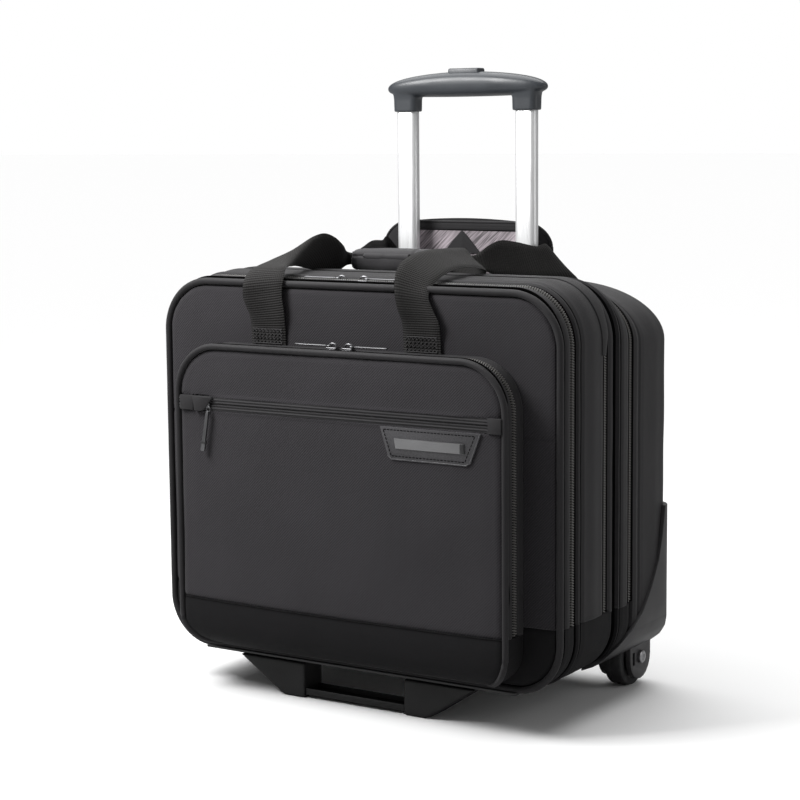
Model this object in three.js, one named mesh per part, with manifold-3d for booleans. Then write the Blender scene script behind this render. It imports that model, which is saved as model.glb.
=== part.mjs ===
// Rolling laptop case: a soft-sided wheeled briefcase with three zipped compartments, a front
// pocket, two carry handles in one wrap and a two-stage trolley handle.
// Lengths are millimetres, +Z is up, the front faces -Y and X runs from left to right.
// The design frame has Y = 0 on the front panel. The exported group is shifted so that the
// origin is under the middle of the object's box.
import * as THREE from 'three';
import { mergeVertices } from 'three/addons/utils/BufferGeometryUtils.js';
import Module from 'manifold-3d';

const wasm = await Module();
wasm.setup();

// Driving dimensions of the bag
const BAG_HALF = 210;
const BAG_BACK = 213;
const BAG_TOP = 382;
const SHELL_TOP = 378;
const BAG_BOTTOM = 36.3;
const SEAM = 95;
const WALL = 2.5;
const GAP = 0.3;
const TOP_RADIUS = 48;
const BASE_RADIUS = 45;
const BACK_RADIUS = 18;
const SHELL_CORNER = [100, 52];

// Zip planes, measured from the front panel, and the width of a zip tape
const ZIP_FRONT = 22;
const ZIP_MIDDLE = 81;
const ZIP_REAR = 130;
const ZIP_POCKET = -15.5;
const TAPE = 7;

// Front pocket
const POCKET_HALF = 174.6;
const POCKET_FRONT = -31.5;
const POCKET_TOP = 325;
const POCKET_BOTTOM = 42;
const POCKET_SEAM = 89;
const POCKET_RADIUS = 45;

// Slip pocket zip and badge on the pocket's face
const SLIP_ZIP_Z = 271.5;
const SLIP_ZIP_HALF = 170;

// Trolley handle
const TUBE_X = 66;
const TUBE_Y = 200;
const UPPER_TUBE = [22, 12];
const MIDDLE_TUBE = [26, 16];
const OUTER_TUBE = [30, 20];
const TUBE_WALL = 1.5;
const TUBE_FLOOR = 50;
const UPPER_EXTENSION = 130;
const GRIP_BOTTOM = 549;
const GRIP_TOP = 573;
const GRIP_HALF = 88;

// Wheels and feet
const WHEEL_RADIUS = 28;
const WHEEL_X = 175;
const WHEEL_Y = 193;
const FOOT_HEIGHT = 33;

// Carry handles
const WEBBING = 38;
const WEBBING_THICKNESS = 2.5;
const ANCHOR_X = [-89, 76];
const REAR_ANCHOR_X = [-97, 97];

const FLAP_BACK = 219.5;

// The slip pocket's pull tab is the front-most piece and the wheels reach furthest back, and
// the origin lies half way between them
const FRONT_MOST = -38;
const CENTRE_Y = (FRONT_MOST + WHEEL_Y + WHEEL_RADIUS) / 2;

const X_AXIS = new THREE.Vector3(1, 0, 0);
const Y_AXIS = new THREE.Vector3(0, 1, 0);
const Z_AXIS = new THREE.Vector3(0, 0, 1);
const ALONG_X = new THREE.Matrix4().makeBasis(Y_AXIS, Z_AXIS, X_AXIS);
const ALONG_Y = new THREE.Matrix4().makeBasis(X_AXIS, Z_AXIS, Y_AXIS.clone().negate());

// ---- Solid helpers ----

function toSolid(geometry) {
  const bare = geometry.clone();
  bare.deleteAttribute('normal');
  bare.deleteAttribute('uv');
  const merged = mergeVertices(bare, 1e-3);
  return new wasm.Manifold(new wasm.Mesh({
    numProp: 3,
    vertProperties: new Float32Array(merged.attributes.position.array),
    triVerts: new Uint32Array(merged.index.array),
  }));
}

function toGeometry(solid) {
  const mesh = solid.getMesh();
  const geometry = new THREE.BufferGeometry();
  geometry.setAttribute('position', new THREE.BufferAttribute(mesh.vertProperties, 3));
  geometry.setIndex(new THREE.BufferAttribute(mesh.triVerts, 1));
  return geometry;
}

function join(...parts) {
  return toGeometry(parts.map(toSolid).reduce((whole, part) => whole.add(part)));
}

function cut(body, ...tools) {
  return toGeometry(tools.map(toSolid).reduce((whole, tool) => whole.subtract(tool), toSolid(body)));
}

function common(first, second) {
  return toGeometry(toSolid(first).intersect(toSolid(second)));
}

// ---- Outlines ----

function arc(centreX, centreY, radiusX, radiusY, fromDegrees, toDegrees, steps = 6) {
  const points = [];
  for (let i = 0; i <= steps; i += 1) {
    const angle = THREE.MathUtils.degToRad(fromDegrees + ((toDegrees - fromDegrees) * i) / steps);
    points.push(new THREE.Vector2(centreX + radiusX * Math.cos(angle), centreY + radiusY * Math.sin(angle)));
  }
  return points;
}

function outline(points) {
  const clean = points.filter((point, i) => point.distanceTo(points[(i + 1) % points.length]) > 0.01);
  return new THREE.Shape(clean);
}

function polygon(pairs) {
  return outline(pairs.map(([x, y]) => new THREE.Vector2(x, y)));
}

// An upright panel with round top corners and a straight bottom edge
function archShape(half, bottom, top, radiusX, radiusZ = radiusX) {
  return outline([
    new THREE.Vector2(-half, bottom),
    new THREE.Vector2(half, bottom),
    ...arc(half - radiusX, top - radiusZ, radiusX, radiusZ, 0, 90),
    ...arc(radiusX - half, top - radiusZ, radiusX, radiusZ, 90, 180),
  ]);
}

// A tray's cross-section with round bottom corners and a straight top edge
function trayShape(half, bottom, top, radius) {
  return outline([
    new THREE.Vector2(half, top),
    new THREE.Vector2(-half, top),
    ...arc(radius - half, bottom + radius, radius, radius, 180, 270),
    ...arc(half - radius, bottom + radius, radius, radius, 270, 360),
  ]);
}

function roundedRectangle(width, height, radius, steps = 4) {
  const x = width / 2 - radius;
  const y = height / 2 - radius;
  return outline([
    ...arc(x, y, radius, radius, 0, 90, steps),
    ...arc(-x, y, radius, radius, 90, 180, steps),
    ...arc(-x, -y, radius, radius, 180, 270, steps),
    ...arc(x, -y, radius, radius, 270, 360, steps),
  ]);
}

// The bag seen from above, with its two back corners rounded
function planShape(offset) {
  const half = BAG_HALF + offset;
  const back = BAG_BACK + offset;
  const radius = BACK_RADIUS + offset;
  return outline([
    new THREE.Vector2(-half, -20),
    new THREE.Vector2(half, -20),
    ...arc(half - radius, back - radius, radius, radius, 0, 90),
    ...arc(radius - half, back - radius, radius, radius, 90, 180),
  ]);
}

// ---- Extrusions ----

function extrude(shape, depth, bevel = 0) {
  return new THREE.ExtrudeGeometry(shape, {
    depth: depth - 2 * bevel,
    bevelEnabled: bevel > 0,
    bevelThickness: bevel,
    bevelSize: bevel,
    bevelOffset: -bevel,
    bevelSegments: 2,
  }).translate(0, 0, bevel);
}

function alongX(shape, from, to, bevel = 0) {
  return extrude(shape, to - from, bevel).applyMatrix4(ALONG_X).translate(from, 0, 0);
}

function alongY(shape, from, to, bevel = 0) {
  return extrude(shape, to - from, bevel).applyMatrix4(ALONG_Y).translate(0, to, 0);
}

function alongZ(shape, from, to, bevel = 0) {
  return extrude(shape, to - from, bevel).translate(0, 0, from);
}

function block(x0, x1, y0, y1, z0, z1) {
  const box = new THREE.BoxGeometry(x1 - x0, y1 - y0, z1 - z0);
  return box.translate((x0 + x1) / 2, (y0 + y1) / 2, (z0 + z1) / 2);
}

function cylinderAlongX(radius, x0, x1, y, z) {
  const cylinder = new THREE.CylinderGeometry(radius, radius, x1 - x0, 28);
  return cylinder.rotateZ(Math.PI / 2).translate((x0 + x1) / 2, y, z);
}

// A turned part whose axis is X. The profile lists [radius, distance along X].
function turnedAlongX(profile, side, x, y, z, segments = 28) {
  const points = profile.map(([radius, along]) => new THREE.Vector2(radius, along));
  const lathe = new THREE.LatheGeometry(points, segments);
  return lathe.rotateZ((-side * Math.PI) / 2).translate(x, y, z);
}

function signedVolume(geometry) {
  const flat = geometry.index ? geometry.toNonIndexed() : geometry;
  const place = flat.attributes.position;
  const [a, b, c] = [new THREE.Vector3(), new THREE.Vector3(), new THREE.Vector3()];
  let volume = 0;
  for (let i = 0; i < place.count; i += 3) {
    a.fromBufferAttribute(place, i);
    b.fromBufferAttribute(place, i + 1);
    c.fromBufferAttribute(place, i + 2);
    volume += a.dot(b.cross(c)) / 6;
  }
  return volume;
}

// Turns a closed surface so that its faces point outwards
function facingOut(geometry) {
  const bare = geometry.clone();
  bare.deleteAttribute('normal');
  bare.deleteAttribute('uv');
  const merged = mergeVertices(bare, 1e-3);
  if (signedVolume(merged) < 0) {
    merged.index.array.reverse();
  }
  return merged;
}

// ---- The assembly ----

const MATERIALS = {
  nylon: { color: 0x2f2d30, roughness: 0.82, metalness: 0 },
  bootNylon: { color: 0x2a292c, roughness: 0.75, metalness: 0 },
  lining: { color: 0x6b6468, roughness: 0.85, metalness: 0 },
  piping: { color: 0x1d1c1e, roughness: 0.6, metalness: 0 },
  zipTape: { color: 0x242325, roughness: 0.7, metalness: 0 },
  webbing: { color: 0x2b2a2b, roughness: 0.8, metalness: 0 },
  plastic: { color: 0x3b3b40, roughness: 0.45, metalness: 0 },
  blackPlastic: { color: 0x1a1a1c, roughness: 0.4, metalness: 0 },
  grip: { color: 0x34373d, roughness: 0.4, metalness: 0 },
  tyre: { color: 0x1c1c1e, roughness: 0.75, metalness: 0 },
  aluminium: { color: 0xd8d9db, roughness: 0.3, metalness: 0.9 },
  chrome: { color: 0xc8c8ca, roughness: 0.18, metalness: 1 },
  steel: { color: 0xa8a8aa, roughness: 0.35, metalness: 1 },
  badge: { color: 0x262527, roughness: 0.5, metalness: 0 },
  badgePlate: { color: 0x8d8d90, roughness: 0.3, metalness: 0.9 },
};

const rollingCase = new THREE.Group();
rollingCase.position.y = -CENTRE_Y;

function addPiece(name, geometry, finish) {
  const mesh = new THREE.Mesh(facingOut(geometry), new THREE.MeshStandardMaterial(MATERIALS[finish]));
  mesh.name = name;
  rollingCase.add(mesh);
  return mesh;
}

const SIDES = [['left', -1], ['right', 1]];

// ---- Bag body ----

// A page of the bag: a divider at its front and a gusset round its top and sides, open at the
// back and at the bottom
function page(front, back, bottom) {
  const outside = alongY(archShape(BAG_HALF, bottom, BAG_TOP, TOP_RADIUS), front, back);
  const inside = archShape(BAG_HALF - WALL, bottom - 5, BAG_TOP - WALL, TOP_RADIUS - WALL);
  return cut(outside, alongY(inside, front + WALL, back + 1));
}

// A band that follows an arch, such as a zip tape or a piping
function archBand(half, bottom, top, corner, thickness, y0, y1) {
  const [radiusX, radiusZ] = corner;
  const inner = [radiusX - thickness, radiusZ - thickness];
  const outside = alongY(archShape(half, bottom, top, radiusX, radiusZ), y0, y1);
  const hole = archShape(half - thickness, bottom - 5, top - thickness, inner[0], inner[1]);
  return cut(outside, alongY(hole, y0 - 1, y1 + 1));
}

const halfTape = TAPE / 2;
const pageBottom = SEAM + GAP;
const wheelWell = { inner: 152.5, front: 158, top: 63 };

function addPages() {
  const pads = ANCHOR_X.map((x) => block(x - 19, x + 19, -2.8, 0.5, 331.5, 345));
  const frontPage = page(0, ZIP_FRONT - halfTape - GAP, pageBottom);
  addPiece('front_panel', join(frontPage, ...pads), 'nylon');
  addPiece('middle_module', page(ZIP_FRONT + halfTape + GAP, ZIP_MIDDLE - halfTape - GAP, pageBottom), 'nylon');
  addPiece('rear_module', page(ZIP_MIDDLE + halfTape + GAP, ZIP_REAR - halfTape - GAP, pageBottom), 'nylon');
}

function addRearShell() {
  const [radiusX, radiusZ] = SHELL_CORNER;
  const front = ZIP_REAR + halfTape + GAP;
  const outside = common(
    alongY(archShape(BAG_HALF, pageBottom, SHELL_TOP, radiusX, radiusZ), front, BAG_BACK),
    alongZ(planShape(0), pageBottom - 5, BAG_TOP),
  );
  const inside = common(
    alongY(archShape(BAG_HALF - 3, pageBottom - 5, SHELL_TOP - 3, radiusX - 3, radiusZ - 3), front - 1, BAG_BACK),
    alongZ(planShape(-3), pageBottom - 10, BAG_TOP),
  );
  const slots = SIDES.map(([, side]) => tubeBlock(side, MIDDLE_TUBE[0] + 1, MIDDLE_TUBE[1] + 1, 370, 385));
  addPiece('rear_shell', cut(outside, inside, backPlate(0, BAG_BACK - 4, BAG_BACK + 1), ...slots), 'nylon');
}

// The flat back, sewn in between the rear shell's rounded edges
function backPlate(inset, from, to) {
  const edge = BACK_RADIUS + inset;
  const [radiusX, radiusZ] = SHELL_CORNER.map((radius) => radius - edge);
  const bottom = inset > 0 ? pageBottom : pageBottom - 1;
  const shape = archShape(BAG_HALF - edge, bottom, SHELL_TOP - edge, radiusX, radiusZ);
  return alongY(shape, from, to);
}

function addBackPanel() {
  const half = WEBBING / 2;
  const legs = REAR_ANCHOR_X.map((x) => join(
    block(x - half, x + half, BAG_BACK - 1, BAG_BACK + 2.8, 331, 345),
    block(x - half, x + half, BAG_BACK + GAP, BAG_BACK + 2.8, 344, 376.5),
  ));
  addPiece('back_panel', join(backPlate(GAP, BAG_BACK - 3, BAG_BACK), ...legs), 'nylon');
}

function addBaseTray() {
  const wall = 3;
  const outside = common(
    alongY(trayShape(BAG_HALF, BAG_BOTTOM, SEAM - GAP, BASE_RADIUS), wall, BAG_BACK),
    alongZ(planShape(0), 0, BAG_TOP),
  );
  const inside = common(
    alongY(trayShape(BAG_HALF - wall, BAG_BOTTOM + wall, SEAM + 5, BASE_RADIUS - wall), 0, BAG_BACK),
    alongZ(planShape(-wall), 0, BAG_TOP),
  );
  addPiece('base_tray', cut(outside, inside, ...wheelWells()), 'bootNylon');
  const front = alongY(trayShape(BAG_HALF, BAG_BOTTOM, SEAM - GAP, BASE_RADIUS), 0, wall - GAP);
  addPiece('base_front', front, 'bootNylon');
}

function wheelWells() {
  const { inner, front, top } = wheelWell;
  return [block(inner, 230, front, 230, 0, top), block(-230, -inner, front, 230, 0, top)];
}

function addBaseBoard() {
  const half = 168;
  const plate = common(block(-half, half, -3, 206, FOOT_HEIGHT + GAP, 36), alongZ(planShape(-7), 0, 100));
  addPiece('base_board', cut(plate, ...wheelWells()), 'blackPlastic');
}

function addBackBoard() {
  const half = 200;
  const foot = wheelWell.inner - 2.5;
  const board = outline([
    new THREE.Vector2(-foot, 40),
    new THREE.Vector2(foot, 40),
    new THREE.Vector2(foot, wheelWell.top + 1),
    new THREE.Vector2(half, wheelWell.top + 1),
    ...arc(half - 92, SHELL_TOP - 9 - 46, 92, 46, 0, 90),
    ...arc(92 - half, SHELL_TOP - 9 - 46, 92, 46, 90, 180),
    new THREE.Vector2(-half, wheelWell.top + 1),
    new THREE.Vector2(-foot, wheelWell.top + 1),
  ]);
  addPiece('back_board', alongY(board, 184.5, 187.5), 'blackPlastic');
}

function addZipTapes() {
  const inset = 0.6;
  const half = BAG_HALF - inset;
  const plain = [TOP_RADIUS - inset, TOP_RADIUS - inset];
  const rows = [
    ['zipper_front', ZIP_FRONT, BAG_TOP - inset, plain],
    ['zipper_middle', ZIP_MIDDLE, BAG_TOP - inset, plain],
    ['zipper_rear', ZIP_REAR, BAG_TOP - 2.6, [70, 50]],
  ];
  for (const [name, y, top, corner] of rows) {
    addPiece(name, archBand(half, SEAM + 2, top, corner, WALL, y - halfTape, y + halfTape), 'zipTape');
  }
}

function addFrontPiping() {
  const corner = [TOP_RADIUS + 0.5, TOP_RADIUS + 0.5];
  const band = archBand(BAG_HALF + 0.5, pageBottom, BAG_TOP + 0.5, corner, 3.5, -2.9, -GAP);
  addPiece('front_piping', band, 'piping');
}

// ---- Front pocket ----

function pocketSide(offset) {
  const front = POCKET_FRONT + offset;
  const bottom = POCKET_BOTTOM + offset;
  return outline([
    new THREE.Vector2(-GAP - offset, bottom),
    new THREE.Vector2(-GAP - offset, POCKET_SEAM + 20),
    new THREE.Vector2(front, POCKET_SEAM + 20),
    ...arc(-7.5, 68, -7.5 - front, 68 - bottom, 180, 270),
  ]);
}

function addPocket() {
  const seam = POCKET_SEAM - GAP;
  const outside = common(
    alongY(trayShape(POCKET_HALF, POCKET_BOTTOM, seam, 32), POCKET_FRONT, -GAP),
    alongX(pocketSide(0), -BAG_HALF, BAG_HALF),
  );
  const inside = common(
    alongY(trayShape(POCKET_HALF - WALL, POCKET_BOTTOM + WALL, seam + 10, 32 - WALL), POCKET_FRONT, 0),
    alongX(pocketSide(WALL), -BAG_HALF, BAG_HALF),
  );
  addPiece('pocket_base', cut(outside, inside), 'bootNylon');

  const bottom = POCKET_SEAM + GAP;
  const lidBack = ZIP_POCKET - halfTape;
  const lid = alongY(archShape(POCKET_HALF, bottom, POCKET_TOP, POCKET_RADIUS), POCKET_FRONT, lidBack);
  const inner = archShape(POCKET_HALF - WALL, bottom - 5, POCKET_TOP - WALL, POCKET_RADIUS - WALL);
  addPiece('pocket_lid', cut(lid, alongY(inner, POCKET_FRONT + WALL, lidBack + 1)), 'nylon');

  const corner = [POCKET_RADIUS, POCKET_RADIUS];
  const frameFront = ZIP_POCKET + halfTape;
  const frame = archBand(POCKET_HALF, bottom, POCKET_TOP, corner, WALL, frameFront, -GAP);
  addPiece('pocket_frame', frame, 'nylon');
  const tape = archBand(POCKET_HALF - 0.6, bottom + 1, POCKET_TOP - 0.6, corner, WALL, lidBack + GAP, frameFront - GAP);
  addPiece('zipper_pocket', tape, 'zipTape');
  const pipingFront = POCKET_FRONT - GAP - 2.2;
  const piping = archBand(POCKET_HALF + 0.5, bottom, POCKET_TOP + 0.5, corner, 3.2, pipingFront, POCKET_FRONT - GAP);
  addPiece('pocket_piping', piping, 'piping');
}

function addSlipZipAndBadge() {
  const face = POCKET_FRONT - GAP;
  const zip = block(-SLIP_ZIP_HALF, SLIP_ZIP_HALF, face - 1.5, face, SLIP_ZIP_Z - 5.5, SLIP_ZIP_Z + 5.5);
  addPiece('zipper_slip', zip, 'zipTape');
  const patch = polygon([[51, 264.5], [61, 236.5], [139, 236.5], [152, 264.5]]);
  addPiece('badge_patch', alongY(patch, face - 1.2, face), 'badge');
  const plate = polygon([[66, 246], [66, 255], [130.5, 255], [137, 252], [137, 246]]);
  addPiece('badge_plate', alongY(plate, face - 2.8, face - 1.5), 'badgePlate');
}

// ---- Zip sliders ----

const SLIDER = { length: 12, width: 7.5, height: 3 };
const PULL = { start: 6.5, length: 34, width: 4.4, thickness: 1.6 };

// A slider lying on a top run, with its loop standing on it, centred on x
function sliderSolid(x, y, z) {
  const { length, width, height } = SLIDER;
  const body = block(x - length / 2, x + length / 2, y - width / 2, y + width / 2, z, z + height);
  const loop = block(x - 4, x + 4, y - 1.2, y + 1.2, z + height - 0.5, z + height + 3.5);
  const window = block(x - 2.6, x + 2.6, y - 2, y + 2, z + height + 0.2, z + height + 2.2);
  return cut(join(body, loop), window);
}

// A pull tab lying flat away from its slider, on the given side
function pullSolid(x, y, z, side) {
  const { start, length, width, thickness } = PULL;
  const from = x + side * start;
  const to = x + side * (start + length);
  return block(Math.min(from, to), Math.max(from, to), y - width / 2, y + width / 2, z + 3.3, z + 3.3 + thickness);
}

function addSliders() {
  const separate = [
    ['pocket_slider', ZIP_POCKET, POCKET_TOP + GAP, [-10, 7]],
    ['front_slider', ZIP_FRONT, BAG_TOP + GAP, [-25, -1]],
  ];
  for (const [name, y, z, places] of separate) {
    SIDES.forEach(([word, side], i) => {
      addPiece(`${name}_${word}`, sliderSolid(places[i], y, z), 'chrome');
      addPiece(`${name}_pull_${word}`, pullSolid(places[i], y, z, side), 'chrome');
    });
  }
  const joined = [
    ['middle_slider', ZIP_MIDDLE, [-24, -2]],
    ['rear_slider', ZIP_REAR, [-24, -2]],
  ];
  for (const [name, y, places] of joined) {
    SIDES.forEach(([word, side], i) => {
      const x = places[i];
      const z = BAG_TOP + GAP;
      const link = block(x - 4, x + 4, y - 1.2, y + 1.2, z + 3.3, z + 4.9);
      const reach = side * (PULL.start + 1);
      const neck = block(Math.min(x, x + reach), Math.max(x, x + reach), y - 1.2, y + 1.2, z + 3.3, z + 4.9);
      addPiece(`${name}_${word}`, join(sliderSolid(x, y, z), link, neck, pullSolid(x, y, z, side)), 'chrome');
    });
  }
}

function addSlipSlider() {
  const face = POCKET_FRONT - GAP - 1.5 - GAP;
  const x = -140;
  const body = block(x - 7, x + 7, face - 2.4, face, SLIP_ZIP_Z - 4, SLIP_ZIP_Z + 4);
  addPiece('slip_slider', body, 'chrome');
  const pull = polygon([[x - 2.2, 228], [x + 2.2, 228], [x + 2.6, 262], [x + 3.4, 267], [x - 3.4, 267], [x - 2.6, 262]]);
  addPiece('slip_slider_pull', alongY(pull, FRONT_MOST, face - 1.2), 'chrome');
}

// ---- Trolley handle ----

function tubeBlock(side, width, depth, z0, z1) {
  const x = side * TUBE_X;
  return block(x - width / 2, x + width / 2, TUBE_Y - depth / 2, TUBE_Y + depth / 2, z0, z1);
}

function tube(side, [width, depth], wall, z0, z1) {
  const shape = roundedRectangle(width, depth, depth / 2 - 0.2);
  const bore = roundedRectangle(width - 2 * wall, depth - 2 * wall, depth / 2 - 0.2 - wall);
  shape.holes.push(new THREE.Path(bore.getPoints()));
  return alongZ(shape, z0, z1).translate(side * TUBE_X, TUBE_Y, 0);
}

function addTrolley() {
  const outerTop = SHELL_TOP - 3 - GAP;
  const socketTop = 560;
  const upperFoot = TUBE_FLOOR + 7 + UPPER_EXTENSION;
  for (const [word, side] of SIDES) {
    addPiece(`outer_tube_${word}`, tube(side, OUTER_TUBE, TUBE_WALL, TUBE_FLOOR + GAP, outerTop), 'aluminium');
    addPiece(`middle_tube_${word}`, tube(side, MIDDLE_TUBE, TUBE_WALL, TUBE_FLOOR + 5, outerTop - 4), 'aluminium');
    addPiece(`upper_tube_${word}`, tube(side, UPPER_TUBE, 1.2, upperFoot, socketTop - GAP), 'aluminium');
  }
  addPiece('tube_bracket', block(-84, 84, 189.5, 209.7, BAG_BOTTOM + 3.2, TUBE_FLOOR), 'blackPlastic');

  const bezelShape = roundedRectangle(164, 22, 8);
  const bezelHoles = SIDES.map(([, side]) => tubeBlock(side, MIDDLE_TUBE[0] + 1, MIDDLE_TUBE[1] + 1, 370, 390));
  const bezel = alongZ(bezelShape, SHELL_TOP + GAP, SHELL_TOP + 2.3).translate(0, TUBE_Y, 0);
  addPiece('tube_bezel', cut(bezel, ...bezelHoles), 'blackPlastic');
}

function addGrip() {
  const depth = 26;
  const shoulder = 567;
  const crown = [];
  for (let x = GRIP_HALF - 3; x >= 3 - GRIP_HALF; x -= 17) {
    crown.push(new THREE.Vector2(x, shoulder + (GRIP_TOP - shoulder) * (1 - (x / GRIP_HALF) ** 2)));
  }
  const side = outline([
    new THREE.Vector2(-GRIP_HALF + 6, GRIP_BOTTOM),
    new THREE.Vector2(GRIP_HALF - 6, GRIP_BOTTOM),
    new THREE.Vector2(GRIP_HALF, GRIP_BOTTOM + 6),
    new THREE.Vector2(GRIP_HALF, shoulder - 4),
    ...crown,
    new THREE.Vector2(-GRIP_HALF, shoulder - 4),
    new THREE.Vector2(-GRIP_HALF, GRIP_BOTTOM + 6),
  ]);
  const handle = alongY(side, TUBE_Y - depth / 2, TUBE_Y + depth / 2, 4);
  const collars = SIDES.map(([, s]) => alongZ(roundedRectangle(27, 17, 7), 535.6, 553).translate(s * TUBE_X, TUBE_Y, 0));
  const sockets = SIDES.map(([, s]) => tubeBlock(s, UPPER_TUBE[0] + 2 * GAP, UPPER_TUBE[1] + 2 * GAP, 530, 560));
  const buttonPocket = block(-17.8, 17.8, TUBE_Y - 7.3, TUBE_Y + 7.3, 561.7, 590);
  addPiece('trolley_grip', cut(join(handle, ...collars), ...sockets, buttonPocket), 'grip');

  const button = alongZ(roundedRectangle(34.8, 13.8, 5), 566.2, 576, 1.5).translate(0, TUBE_Y, 0);
  addPiece('release_button', button, 'grip');
}

function addFlap() {
  const flap = outline([
    new THREE.Vector2(-88, 373),
    new THREE.Vector2(88, 373),
    new THREE.Vector2(94, 402),
    ...arc(62, 403, 30, 30, 10, 90),
    ...arc(-62, 403, 30, 30, 90, 170),
    new THREE.Vector2(-94, 402),
  ]);
  addPiece('cover_flap', alongY(flap, FLAP_BACK - 2.5, FLAP_BACK), 'lining');
}

// ---- Wheels, guards and feet ----

function guardGeometry(side) {
  const sideView = polygon([
    [220, 173], [196, 173], [190, 145], [183, 124], [169, 102], [152, 83], [132, 68], [112, 55],
    [100, 46], [96, 28], [220, 28],
  ]);
  const outer = common(
    alongY(trayShape(BAG_HALF + 4.2, BAG_BOTTOM - 4.2, 180, BASE_RADIUS + 4.2), 80, 220),
    alongZ(planShape(4.2), 0, 200),
  );
  const bag = common(
    alongY(trayShape(BAG_HALF + GAP, BAG_BOTTOM - GAP, 200, BASE_RADIUS + GAP), 70, 220),
    alongZ(planShape(GAP), 0, 200),
  );
  const skin = cut(common(outer, alongX(sideView, 178.6, 220)), bag);
  const wellBlock = common(outer, block(wheelWell.inner + 0.5, 220, wheelWell.front + 0.5, 220, 33, wheelWell.top - 0.5));
  const cheek = outline([
    new THREE.Vector2(WHEEL_Y + 21, 45),
    new THREE.Vector2(WHEEL_Y - 21, 45),
    ...arc(WHEEL_Y, WHEEL_RADIUS, 21, 21, 180, 360, 10),
  ]);
  const cheeks = [alongX(cheek, WHEEL_X + 11, WHEEL_X + 16), alongX(cheek, WHEEL_X - 18, WHEEL_X - 12)];
  const cavity = cylinderAlongX(WHEEL_RADIUS + 2.5, WHEEL_X - 11.5, WHEEL_X + 10.5, WHEEL_Y, WHEEL_RADIUS);
  const axleHole = cylinderAlongX(4.3, WHEEL_X - 30, WHEEL_X + 30, WHEEL_Y, WHEEL_RADIUS);
  const slot = block(WHEEL_X + 10, WHEEL_X + 20, WHEEL_Y - 16, WHEEL_Y - 11.5, 22, 34);
  const guard = cut(join(skin, wellBlock, ...cheeks), cavity, axleHole, slot);
  return side > 0 ? guard : guard.clone().scale(-1, 1, 1);
}

function addWheels() {
  for (const [word, side] of SIDES) {
    addPiece(`corner_guard_${word}`, guardGeometry(side), 'plastic');
    const x = side * WHEEL_X;
    const tyre = [[21.3, -9], [26.6, -9], [28, -7], [28, 7], [26.6, 9], [21.3, 9], [21.3, -9]];
    addPiece(`wheel_tyre_${word}`, turnedAlongX(tyre, side, x, WHEEL_Y, WHEEL_RADIUS), 'tyre');
    const hub = [[4.2, -8], [20.9, -8], [20.9, 8], [4.2, 8], [4.2, -8]];
    addPiece(`wheel_hub_${word}`, turnedAlongX(hub, side, x, WHEEL_Y, WHEEL_RADIUS), 'blackPlastic');
    const axle = [[0, -17.5], [3.9, -17.5], [3.9, 16.3], [6, 16.3], [6, 18.6], [5, 19.2], [0, 19.2]];
    addPiece(`wheel_axle_${word}`, turnedAlongX(axle, side, x, WHEEL_Y, WHEEL_RADIUS, 20), 'steel');
  }
}

function addFeet() {
  for (const [word, side] of SIDES) {
    const shape = polygon([[54, 0], [78, 0], [128, FOOT_HEIGHT], [54, FOOT_HEIGHT]].map(([x, z]) => [side * x, z]));
    addPiece(`foot_${word}`, alongY(shape, -5, 25, 1.5), 'plastic');
  }
  const half = 53.7;
  const floorPlate = block(-half, half, -3, 20, 3, 5);
  const lips = [block(-half, half, -3, -1, 3, 9), block(-half, half, 18, 20, 3, 9)];
  addPiece('foot_bar', join(floorPlate, ...lips), 'plastic');
}

// ---- Carry handles ----

// Sweeps a flat strap along stations of [x, y, z, across x, across y, across z, width]
function strap(stations) {
  const places = new THREE.CatmullRomCurve3(stations.map(([x, y, z]) => new THREE.Vector3(x, y, z)), false, 'centripetal');
  const steps = (stations.length - 1) * 2;
  const positions = [];
  const index = [];
  for (let i = 0; i <= steps; i += 1) {
    const t = i / steps;
    const near = stations[Math.floor(t * (stations.length - 1))];
    const next = stations[Math.min(Math.floor(t * (stations.length - 1)) + 1, stations.length - 1)];
    const share = t * (stations.length - 1) - Math.floor(t * (stations.length - 1));
    const tangent = places.getTangent(t);
    const across = new THREE.Vector3(...near.slice(3, 6)).lerp(new THREE.Vector3(...next.slice(3, 6)), share);
    across.addScaledVector(tangent, -across.dot(tangent)).normalize();
    const normal = new THREE.Vector3().crossVectors(tangent, across);
    const halfWidth = THREE.MathUtils.lerp(near[6], next[6], share) / 2;
    for (const [a, n] of [[-1, -1], [1, -1], [1, 1], [-1, 1]]) {
      const corner = places.getPoint(t);
      corner.addScaledVector(across, a * halfWidth).addScaledVector(normal, (n * WEBBING_THICKNESS) / 2);
      positions.push(corner.x, corner.y, corner.z);
    }
  }
  for (let i = 0; i < steps; i += 1) {
    for (let k = 0; k < 4; k += 1) {
      const a = 4 * i + k;
      const b = 4 * i + ((k + 1) % 4);
      index.push(a, b, b + 4, a, b + 4, a + 4);
    }
  }
  const last = 4 * steps;
  index.push(0, 3, 2, 0, 2, 1, last, last + 1, last + 2, last, last + 2, last + 3);
  const geometry = new THREE.BufferGeometry();
  geometry.setAttribute('position', new THREE.BufferAttribute(new Float32Array(positions), 3));
  geometry.setIndex(index);
  return geometry;
}

const FOLDED = 12;

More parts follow.
